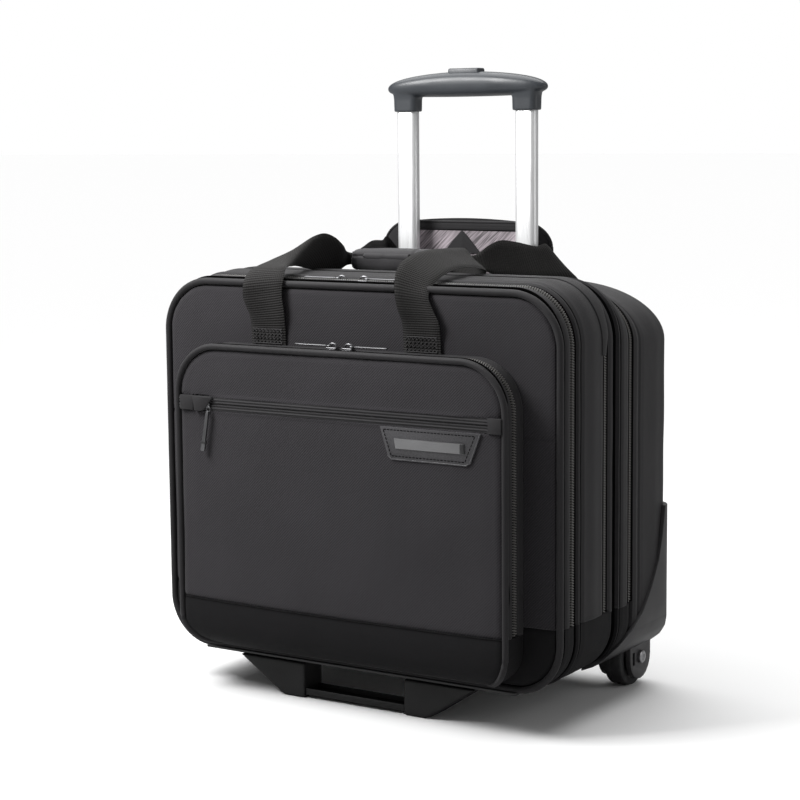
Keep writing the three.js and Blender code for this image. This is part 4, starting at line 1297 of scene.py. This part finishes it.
# Pairs of points across each strap, from end to end: its one edge and then its other edge.
# Most of the front rows and some of the rear rows are another program's output, worked out from
# the photo. They are kept as they are.
FRONT_STRAP = [
    (-108, -3.5, 317, -70, -3.5, 317), (-108, -3.8, 338, -70, -3.8, 338), (-107, -7.5, 351, -69.4, -6.4, 355),
    (-108.3, -15, 367.5, -71.2, -7, 372.5), (-106.2, -18, 380.4, -71.6, -4, 384),
    (-106.4, -9, 391.9, -74.5, 4, 393.4),
    (-103.2, 18, 400.4, -77.2, 12, 395.7), (-97.7, 46, 408.6, -82, 24, 395.4),
    (-88.4, 70, 420.5, -88.5, 44, 393.8),
    (-84.2, 82, 422.6, -91.3, 68, 389.4), (-80.4, 93, 418.4, -89.6, 88, 387),
    (-79.2, 105, 410.4, -85.5, 105, 386.2),
    (-84, 120.5, 403, -84, 120.5, 391), (-60, 120.5, 403, -60, 120.5, 391), (0, 120.5, 403, 0, 120.5, 391),
    (30, 120.5, 403, 30, 120.5, 387), (44, 115, 406, 47, 115, 383.6), (54, 106, 410, 70, 102, 383.6),
    (59.9, 90, 411.7, 89.4, 84, 391.4), (58.1, 60, 412.6, 88, 62, 396.2), (56, 34, 412.2, 85, 44, 396),
    (53.4, 12, 408.4, 83, 28, 393.4), (52.6, -3, 401.9, 81.8, 13, 388.2), (54.4, -13, 391.7, 81.6, 2, 381.3),
    (56.4, -17, 379.1, 83.6, -5, 374.4), (57, -14, 365.9, 89, -7, 364.6), (57.6, -7, 352.3, 94.8, -6.6, 353),
    (57, -3.8, 338, 95, -3.8, 338), (57, -3.5, 317, 95, -3.5, 317)]

REAR_STRAP = [
    (-116, 215.2, 331, -78, 215.2, 331), (-116, 215.2, 352, -78, 215.2, 352),
    (-116, 215.4, 374, -78, 215.4, 381),
    (-114, 215.1, 380, -81, 214.2, 392), (-110.3, 213.4, 381.4, -87.4, 203, 409),
    (-92, 189, 380.4, -90, 188, 411),
    (-87, 166, 382.8, -86.7, 166, 411.7), (-83, 148, 389.3, -83.5, 148, 408),
    (-80, 131.5, 391, -80, 131.5, 403),
    (-50, 131.5, 391, -50, 131.5, 403), (0, 131.5, 391, 0, 131.5, 403), (26, 131.5, 391, 26, 131.5, 403),
    (50, 142, 388.3, 44, 142, 402.5), (57, 152, 384, 50.9, 152, 410.2), (66, 164, 381.6, 57.4, 164, 415),
    (77, 177, 380.4, 67.2, 175, 413.4), (95, 191.5, 380, 82, 187, 409), (110, 213, 378.6, 86, 203, 408),
    (115, 215.3, 374.4, 80.4, 214.2, 393), (116, 215.4, 369, 78, 215.4, 379),
    (116, 215.2, 352, 78, 215.2, 352),
    (116, 215.2, 331, 78, 215.2, 331)]


def curve_through(rows, steps):
    """Smooth points through a list of stations, centripetal Catmull-Rom."""
    table = np.array(rows, float)
    padded = np.vstack([2 * table[0] - table[1], table, 2 * table[-1] - table[-2]])
    found = []
    for i in range(len(table) - 1):
        p0, p1, p2, p3 = padded[i:i + 4]
        knots = [0.0]
        for a, b in ((p0, p1), (p1, p2), (p2, p3)):
            knots.append(knots[-1] + max(np.linalg.norm(b[:3] - a[:3]), 1e-3) ** 0.5)
        for step in range(steps):
            t = knots[1] + (knots[2] - knots[1]) * step / steps
            a1 = (knots[1] - t) / (knots[1] - knots[0]) * p0 + (t - knots[0]) / (knots[1] - knots[0]) * p1
            a2 = (knots[2] - t) / (knots[2] - knots[1]) * p1 + (t - knots[1]) / (knots[2] - knots[1]) * p2
            a3 = (knots[3] - t) / (knots[3] - knots[2]) * p2 + (t - knots[2]) / (knots[3] - knots[2]) * p3
            b1 = (knots[2] - t) / (knots[2] - knots[0]) * a1 + (t - knots[0]) / (knots[2] - knots[0]) * a2
            b2 = (knots[3] - t) / (knots[3] - knots[1]) * a2 + (t - knots[1]) / (knots[3] - knots[1]) * a3
            share = (t - knots[1]) / (knots[2] - knots[1])
            found.append((knots[2] - t) / (knots[2] - knots[1]) * b1 + share * b2)
    found.append(table[-1])
    return np.array(found)


def ribbon(name, stations, finish, thickness=2.3, steps=10, cup=0.6):
    """A flat strap between two edges, slightly cupped across its width, with rounded edges."""
    spine = curve_through(stations, steps)
    centres = (spine[:, :3] + spine[:, 3:]) / 2
    reaches = (spine[:, 3:] - spine[:, :3]) / 2
    ahead = np.gradient(centres, axis=0)
    normal = np.cross(ahead, reaches)
    normal /= np.linalg.norm(normal, axis=1)[:, None]
    way = np.concatenate([[0], np.cumsum(np.linalg.norm(np.diff(centres, axis=0), axis=1))])
    shares = np.linspace(-1, 1, 13)
    upper = [(s, 0.5 * (1 - abs(s) ** 8) ** 0.5) for s in shares]
    section = upper + [(s, -n) for s, n in upper[-2:0:-1]]
    points = []
    uvs = []
    for centre, reach, out, at in zip(centres, reaches, normal, way):
        for s, n in section:
            bow = cup * (s * s - 0.4)
            points.append(centre + reach * s + out * (n * thickness + bow))
            uvs.append((s * WEB / 2 * MM, at * MM))
    count = len(section)
    faces = quads(len(centres), count, True)
    faces += [tuple(range(count)), tuple(range(len(points) - count, len(points)))[::-1]]
    made = piece(name, points, faces, finish, uvs, 50)
    recalculate(made)
    return made


def anchor_stitches(name, x, y, z0, z1, body, facing=-1):
    """The box of zig-zag stitching that holds a strap's end."""
    build = Build()
    half = WEB / 2 - 3
    rows = 4
    height = z1 - z0
    for row in range(rows):
        z = z0 + height * (row + 0.5) / rows
        points = []
        count = 16
        for i in range(count + 1):
            wave = height / rows * 0.36 * (1 if i % 2 else -1)
            points.append((x - half + 2 * half * i / count, y, z + wave))
        build.rope(points, 0.45, 6)
    for z in (z0, z1):
        build.rope([(x - half, y, z), (x, y + 0.1 * facing, z), (x + half, y, z)], 0.45, 6)
    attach(build.finish(name, THREAD, uv=True), body)


def add_handles():
    front = ribbon("front_strap", FRONT_STRAP, WEBBING)
    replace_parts(front, "front_handle")
    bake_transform(front)
    rear = ribbon("rear_strap", REAR_STRAP, WEBBING)
    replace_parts(rear, "rear_handle")
    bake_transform(rear)
    for word, x in (("left", -89), ("right", 76)):
        anchor_stitches(f"front_stitches_{word}", x, -5.1, 327, 340, "front_panel")
    for word, x in (("left", -97), ("right", 97)):
        anchor_stitches(f"rear_stitches_{word}", x, 216.7, 334, 348, "root", 1)


def add_wrap():
    """The padded sleeve round both straps: a quilted cloth tube that is open at the back."""
    left, front, bottom = low("handle_wrap")
    right, back, top = high("handle_wrap")
    left, bottom, top = left + 5, bottom - 4, top - 3
    section = [(back - 12, bottom + 0.9), (front + 7, bottom + 0.2), (front + 3, bottom + 1.2),
               (front + 0.9, bottom + 4.4),
               (front + 0.2, bottom + 8), (front + 0.5, top - 7.2), (front + 1.9, top - 5.9),
               (front + 1.5, top - 4.4),
               (front + 3.4, top - 1.5), (front + 8.5, top + 0.4), (back - 9, top + 0.2),
               (back - 4, top - 1.2),
               (back - 0.6, top - 2.6)]
    curve = curve_through([(y, z, 0) for y, z in section], 5)[:, :2]
    places = np.linspace(left, right, 70)
    seam = left + (right - left) * 0.66
    points = []
    uvs = []
    way = np.concatenate([[0], np.cumsum(np.linalg.norm(np.diff(curve, axis=0), axis=1))])
    ahead = np.gradient(curve, axis=0)
    ahead /= np.linalg.norm(ahead, axis=1)[:, None]
    out = np.stack([-ahead[:, 1], ahead[:, 0]], axis=1)
    out *= np.sign(np.sum(out * (curve - curve.mean(axis=0))))
    for x in places:
        end = min(x - left, right - x)
        puff = eased([(0, -1.6), (2.5, -0.2), (6, -0.5), (9, 0.5), (30, 0.9)], end)
        pinch = seam_dip(x - seam, 1.3, 1.5)
        for (y, z), (ny, nz), at in zip(curve, out, way):
            lift = puff - pinch + uneven(x, y, z, 16, 0.5)
            points.append((x, y + ny * lift, z + nz * lift))
            uvs.append((x * MM, at * MM))
    sleeve = piece("wrap_cloth", points, quads(len(places), len(curve)), PADDING, uvs)
    recalculate(sleeve)
    thicken(sleeve, 3.0)
    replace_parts(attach(sleeve, "front_handle"), "handle_wrap")


# ---- Trolley handle ----

def rounded_loop(width, depth, radius, steps=8):
    """A rounded rectangle's points, seen from above, counter-clockwise."""
    points = []
    for sx, sy, start in ((1, 1, 0), (-1, 1, 90), (-1, -1, 180), (1, -1, 270)):
        for i in range(steps + 1):
            a = math.radians(start + 90 * i / steps)
            points.append((sx * (width / 2 - radius) + radius * math.cos(a),
                           sy * (depth / 2 - radius) + radius * math.sin(a)))
    return points


def tube_piece(node, name, wall, body):
    """A drawn aluminium tube with rounded corners and a real wall."""
    x0, y0, z0 = low(node)
    x1, y1, z1 = high(node)
    width, depth = x1 - x0, y1 - y0
    centre_x, centre_y = (x0 + x1) / 2, (y0 + y1) / 2
    outer = rounded_loop(width, depth, depth * 0.42)
    inner = rounded_loop(width - 2 * wall, depth - 2 * wall, depth * 0.42 - wall)
    rings = [(outer, z0 + 0.4), (outer, z1 - 0.4),
             (rounded_loop(width - 0.6, depth - 0.6, depth * 0.42 - 0.3), z1), (inner, z1),
             (inner, z0), (rounded_loop(width - 0.6, depth - 0.6, depth * 0.42 - 0.3), z0)]
    points = [(centre_x + x, centre_y + y, z) for loop, z in rings for x, y in loop]
    count = len(outer)
    faces = quads(len(rings), count, True)
    last = (len(rings) - 1) * count
    faces += [(last + i, last + (i + 1) % count, (i + 1) % count, i) for i in range(count)]
    made = piece(name, points, faces, ALUMINIUM_WITH_PAINTED_REFLECTION, None, 40)
    recalculate(made)
    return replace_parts(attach(made, body), node)


def add_trolley():
    for word in ("left", "right"):
        tube_piece(f"upper_tube_{word}", f"upper_tube_skin_{word}", 1.2, "trolley_upper")
        tube_piece(f"middle_tube_{word}", f"middle_tube_skin_{word}", 1.5, "trolley_middle")
        tube_piece(f"outer_tube_{word}", f"outer_tube_skin_{word}", 1.5, "root")
    add_grip()
    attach(rounded_copy("tube_bezel", "bezel_moulding", BLACK, 0.6), "root")
    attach(rounded_copy("tube_bracket", "bracket_moulding", BLACK, 1.0), "root")


def add_grip():
    """The grip: a crowned bar, fattest in the middle, with round ends over two collars."""
    _, front, collar_foot = low("trolley_grip")
    half, back, top = high("trolley_grip")
    middle_y = (front + back) / 2
    depth = (back - front) / 2
    bar_bottom = top - 24
    build = Build()
    rings = []
    for share in np.sin(np.linspace(-math.pi / 2, math.pi / 2, 41)):
        x = share * half
        end = math.sqrt(max(1 - abs(share) ** 9, 0))
        crown = top - 8.5 * share * share
        belly = bar_bottom + 1.4 * share * share
        centre_z = (crown + belly) / 2
        rise = (crown - belly) / 2 * max(end, 0.02)
        swell_y = depth * (1 - 0.16 * share * share) * max(end, 0.02)
        loop = []
        for a in full_turn(28):
            c, s = math.cos(a), math.sin(a)
            loop.append(build.work.verts.new((x, middle_y + swell_y * math.copysign(abs(c) ** 0.8, c),
                                              centre_z + rise * math.copysign(abs(s) ** 0.8, s))))
        rings.append(loop)
    build.join_rings(rings)
    build.work.faces.new(rings[0][::-1])
    build.work.faces.new(rings[-1])
    for side in (-1, 1):
        loops = []
        for z, grow in ((collar_foot, 0.0), (collar_foot + 12, 0.4), (bar_bottom + 6, 2.0),
                        (bar_bottom + 11, 2.0)):
            loops.append([build.work.verts.new((side * TUBE_X + x, TUBE_Y + y, z)) for x,
                          y in rounded_loop(27 + grow, 17 + grow, 6.5, 6)])
        build.join_rings(loops)
        build.work.faces.new(loops[0][::-1])
        build.work.faces.new(loops[-1])
    grip = build.finish("grip_moulding", GRIP)
    melted(grip, 1.0, 6)
    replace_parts(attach(grip, "trolley_upper"), "trolley_grip")
    button_low, button_high = low("release_button"), high("release_button")
    centre = middle("release_button")
    button = Build()
    size = [b - a for a, b in zip(button_low, button_high)]
    button.block(centre, size, 1.6, 0.96, steps=4)
    made = button.finish("button_moulding", GRIP)
    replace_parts(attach(made, "release_button"), "release_button")


# The flap's corner radius, how far its top lies to one side and how far it leans forward
FLAP_RADIUS = 28
FLAP_SHIFT = -9.5
FLAP_LEAN = 3.4
# Where the top of its folded tuck lies: across, and up
FLAP_TUCK = (-14, 421)


def flap_half(z):
    """Half the cover flap's width at a height."""
    right, top = high("cover_flap")[0], high("cover_flap")[2]
    over = max(z - (top - FLAP_RADIUS), 0) / FLAP_RADIUS
    return right - FLAP_RADIUS * (1 - math.sqrt(max(1 - over * over, 0)))


def flap_place(x, z, lift):
    """Where a point of the flap lies: it stands on its hinge and leans on the tubes, its top bowed."""
    bottom, top, back = low("cover_flap")[2], high("cover_flap")[2], high("cover_flap")[1]
    rise = (z - bottom) / (top - bottom)
    leant = eased([(0, 0), (0.4, 1), (1, 1)], rise)
    return x + FLAP_SHIFT * leant, back - FLAP_LEAN * leant - lift, z - 5 * (x / 80) ** 2 * rise ** 3


def flap_sheet(name, rows, share_of, lift, finish, thickness):
    points = []
    uvs = []
    for z in rows:
        for share in np.linspace(-1, 1, 60):
            x = share * share_of(z)
            points.append(flap_place(x, z, lift + 0.4 * uneven(x, 4, z, 30, 1.0)))
            uvs.append((x * MM, z * MM))
    sheet = piece(name, points, quads(len(rows), 60), finish, uvs)
    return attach(thicken(sheet, thickness), "cover_flap")


def add_flap():
    """The flap that covers the trolley: cloth outside, printed lining inside, a padded border."""
    bottom, top = low("cover_flap")[2], high("cover_flap")[2]
    rows = list(np.linspace(bottom, top - FLAP_RADIUS, 20))
    rows += [top - 0.3 - FLAP_RADIUS * (1 - math.sin(a)) for a in np.linspace(0.1, math.pi / 2, 16)]
    cloth = flap_sheet("flap_cloth", rows, flap_half, 0.0, PLAIN, 0.9)
    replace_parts(cloth, "cover_flap")
    flap_sheet("flap_lining", [z for z in rows if z < top - 6], lambda z: flap_half(z) - 8, 1.2, LINING, 0.5)
    path = np.array([(-flap_half(z), z) for z in rows] + [(flap_half(z), z) for z in rows[::-1]])
    border = []
    uvs = []
    way = travelled(path)
    for (x, z), (nx, nz), at in zip(path, outward(path), way):
        width = 9.5 + 10 * nx * nx
        for share in np.linspace(0, 1, 9):
            puff = 1.1 + 0.8 * math.sin(math.pi * share) ** 0.6
            border.append(flap_place(x - nx * width * share, z - nz * width * share, puff))
            uvs.append((at * MM, width * share * MM))
    edge = piece("flap_border", border, quads(len(path), 9), PLAIN, uvs)
    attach(thicken(edge, 0.7), "cover_flap")
    binding = Build()
    binding.rope([flap_place(x, z, 0.7) for x, z in path], 1.5, 12)
    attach(binding.finish("flap_binding", WELT, uv=True), "cover_flap")
    tuck = []
    for rise in np.linspace(0, 1, 14):
        for share in np.linspace(-1, 1, 15):
            x = FLAP_TUCK[0] - FLAP_SHIFT + share * 21 * (1 - rise) ** 0.9
            lift = 1.9 + 2.0 * (1 - abs(share)) * (1 - rise)
            tuck.append(flap_place(x, bottom + 26 + (FLAP_TUCK[1] - bottom - 26) * rise, lift))
    fold = piece("flap_tuck", tuck, quads(14, 15), PLAIN, [(x * MM, z * MM) for x, _, z in tuck])
    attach(fold, "cover_flap")


def add_rain_flap():
    """The lip of the middle gusset that covers the middle zip over the top and the corners."""
    foot = 322
    line = bag_arch(ZIP_B)
    out = outward(line)
    kept = [k for k in range(len(line)) if line[k][1] > foot]
    points = []
    uvs = []
    way = travelled(line)
    for k in kept:
        (x, z), (nx, nz) = line[k], out[k]
        reach = eased([(foot, 77.2), (348, 82), (372, 88.5)], z)
        for y in np.linspace(70, reach, 12):
            share = (y - 70) / (reach - 70)
            rest = swell(70, nz) + 0.1
            lift = rest + (max(swell(88, nz) + 1.3, rest) - rest) * share ** 0.7 * (reach - 70) / 18
            lift += 0.5 * math.sin(math.pi * share) - (0.9 if share == 1 else 0)
            points.append((x + nx * lift, y, z + nz * lift))
            uvs.append((way[k] * MM, y * MM))
    lip = piece("rain_flap", points, quads(len(kept), 12), PLAIN, uvs)
    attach(thicken(lip, 0.8), "middle_module")


# ---- Wheels, guards and feet ----

def turned(name, profile, centre, side, finish, sides=72):
    """A round part about an axle along X. The profile lists (radius, way along the axle)."""
    points = []
    for a in full_turn(sides):
        for radius, way in profile:
            points.append((centre[0] + side * way, centre[1] + radius * math.cos(a),
                           centre[2] + radius * math.sin(a)))
    count = len(profile)
    faces = []
    for i in range(sides):
        for k in range(count):
            right = (k + 1) % count
            near, far = i * count, ((i + 1) % sides) * count
            faces.append((near + k, near + right, far + right, far + k))
    made = piece(name, points, faces, finish, None, 35)
    recalculate(made)
    return made


def add_wheels():
    for word, side in (("left", -1), ("right", 1)):
        centre = middle(f"wheel_tyre_{word}")
        radius = high(f"wheel_tyre_{word}")[2] - centre[2]
        half = (high(f"wheel_tyre_{word}")[0] - low(f"wheel_tyre_{word}")[0]) / 2
        bore = radius - 6.7
        tyre = [(bore, -half), (radius - 2.2, -half), (radius - 0.7, -half + 0.9), (radius, -half + 2.6),
                (radius, -2.4),
                (radius - 0.8, -1.9), (radius - 0.8, 1.9), (radius, 2.4), (radius, half - 2.6),
                (radius - 0.7, half - 0.9),
                (radius - 2.2, half), (bore, half)]
        node = f"wheel_tyre_{word}"
        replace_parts(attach(turned(f"tyre_{word}", tyre, centre, side, RUBBER), f"wheel_{word}"), node)
        add_hub(word, side, centre, bore, half)
        node = f"wheel_axle_{word}"
        axle_low, axle_high = low(node), high(node)
        reach = (axle_high[0] if side > 0 else -axle_low[0]) - side * centre[0]
        inner = side * (axle_low[0] if side > 0 else axle_high[0]) - side * centre[0]
        bolt = [(0.01, inner), (3.4, inner), (3.9, inner + 0.5), (3.9, reach - 2.9), (6.0, reach - 2.9),
                (6.0, reach - 0.9),
                (5.2, reach - 0.2), (3.0, reach), (2.2, reach - 0.9), (0.01, reach - 0.9)]
        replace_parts(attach(turned(f"axle_{word}", bolt, centre, side, STEEL, 36), "root"), node)


def add_hub(word, side, centre, bore, half):
    """A hub with five spokes between its rim and its boss."""
    build = Build()
    rim = [(bore - 0.3, -half + 1), (bore - 0.3, half - 1), (bore - 3, half - 1), (bore - 3.4, half - 1.6),
           (bore - 3.4, -half + 1.6),
           (bore - 3, -half + 1)]
    boss = [(4.2, -half + 1), (4.2, half - 1), (7.4, half - 1), (8.0, half - 1.8), (8.0, -half + 1.8),
            (7.4, -half + 1)]
    for profile in (rim, boss):
        rows = [[build.work.verts.new((centre[0] + side * way, centre[1] + radius * math.cos(a),
                                       centre[2] + radius * math.sin(a)))
                 for radius, way in profile] for a in full_turn(60)]
        build.join_rings(rows, True)
    spoke_way = (7.4 + bore - 3) / 2
    for i in range(5):
        angle = 360 * i / 5
        a = math.radians(angle)
        spot = (centre[0], centre[1] - spoke_way * math.sin(a), centre[2] + spoke_way * math.cos(a))
        build.block(spot, (2 * half - 4.5, 4.6, bore - 9.6), 0.6, 1.0, angle, "X")
    hub = build.finish(f"hub_{word}", BLACK)
    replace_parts(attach(hub, f"wheel_{word}"), f"wheel_hub_{word}")


def add_guards_and_feet():
    for word in ("left", "right"):
        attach(rounded_copy(f"corner_guard_{word}", f"guard_moulding_{word}", HOUSING_PAINTED_LIGHT, 1.1), "root")
        foot = rounded_copy(f"foot_{word}", f"foot_moulding_{word}", FOOT_PAINTED_SHADE, 0.2)
        melted(foot, 1.3, 10)
        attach(foot, "root")
    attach(rounded_copy("foot_bar", "bar_moulding", FOOT_PAINTED_SHADE, 0.6), "root")
    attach(rounded_copy("base_board", "board_moulding", BLACK, 0.7), "root")
    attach(rounded_copy("back_board", "stiffener_board", BLACK, 0.5), "root")


# ---- Camera, light and floor ----

CAMERA_AT = (1017, -1503, 516)
CAMERA_TURN = 32.75
CAMERA_DIP = 7.43
CAMERA_ROLL = -0.5
CAMERA_LENS = 92.4
AMBIENT = 0.175
CEILING = 3.0
FLOOR_BOUNCE = 0.45


def add_camera():
    data = bpy.data.cameras.new("camera")
    data.lens = CAMERA_LENS
    camera = bpy.data.objects.new("camera", data)
    bpy.context.collection.objects.link(camera)
    turn, dip, roll = (math.radians(angle) for angle in (CAMERA_TURN, CAMERA_DIP, CAMERA_ROLL))
    ahead = Vector((-math.sin(turn) * math.cos(dip), math.cos(turn) * math.cos(dip), -math.sin(dip)))
    right = Vector((math.cos(turn), math.sin(turn), 0))
    up = right.cross(ahead)
    rolled_right = math.cos(roll) * right + math.sin(roll) * up
    rolled_up = -math.sin(roll) * right + math.cos(roll) * up
    axes = Matrix((rolled_right, rolled_up, -ahead)).transposed().to_4x4()
    camera.matrix_world = Matrix.Translation(place(*CAMERA_AT)) @ axes
    bpy.context.scene.camera = camera


def softbox(name, at, target, size, power):
    data = bpy.data.lights.new(name, "AREA")
    data.shape = "RECTANGLE"
    data.size, data.size_y = size
    data.energy = power
    lamp = bpy.data.objects.new(name, data)
    bpy.context.collection.objects.link(lamp)
    lamp.location = at
    lamp.rotation_euler = (Vector(target) - Vector(at)).to_track_quat("-Z", "Y").to_euler()


def add_studio():
    world = bpy.data.worlds.new("studio")
    world.use_nodes = True
    tree = world.node_tree
    light = tree.nodes["Background"]
    seen = tree.nodes.new("ShaderNodeLightPath").outputs["Is Camera Ray"]
    strength = tree.nodes.new("ShaderNodeMapRange")
    strength.inputs["To Min"].default_value = AMBIENT
    light.inputs["Color"].default_value = (1, 1, 1, 1)
    tree.links.new(seen, strength.inputs["Value"])
    tree.links.new(strength.outputs[0], light.inputs["Strength"])
    bpy.context.scene.world = world
    bpy.context.scene.view_settings.view_transform = "Standard"
    softbox("key", (-0.5, -0.6, 0.98), (0, 0, 0.2), (0.45, 0.45), 13)
    softbox("fill", (2.0, 0.4, 0.9), (0, 0, 0.2), (1.2, 1.6), 6)
    sun = bpy.data.lights.new("ceiling", "SUN")
    sun.energy = CEILING
    sun.angle = math.radians(70)
    ceiling = bpy.data.objects.new("ceiling", sun)
    bpy.context.collection.objects.link(ceiling)
    ceiling.rotation_euler = (math.radians(-12), math.radians(-14), 0)
    mesh = bpy.data.meshes.new("floor")
    reach = 40.0
    mesh.from_pydata([(-reach, -reach, 0), (reach, -reach, 0), (reach, reach, 0), (-reach, reach, 0)], [],
                     [(0, 1, 2, 3)])
    floor = bpy.data.objects.new("floor", mesh)
    bpy.context.collection.objects.link(floor)
    paper = Shader("floor_paper", (0.93, 0.93, 0.93), 0.9)
    paper.set("Specular IOR Level", 0.1)
    seen = paper.tree.nodes.new("ShaderNodeLightPath").outputs["Is Camera Ray"]
    paper.shade(paper.spread(seen, FLOOR_BOUNCE, 1.0, 0.0, 1.0))
    paper.rough(paper.spread(paper.noise(paper.spot(), 0.2), 0.85, 0.95))
    mesh.materials.append(paper.material)


# ---- Assembly ----

add_camera()
add_studio()
add_front_panel()
add_front_welts()
add_modules()
add_base_and_shell()
add_back_panel()
add_pocket()
add_slip_zip()
add_badge()
add_sliders()
add_slip_slider()
add_handles()
add_wrap()
add_trolley()
add_flap()
add_rain_flap()
add_crease_shades()
add_wheels()
add_guards_and_feet()
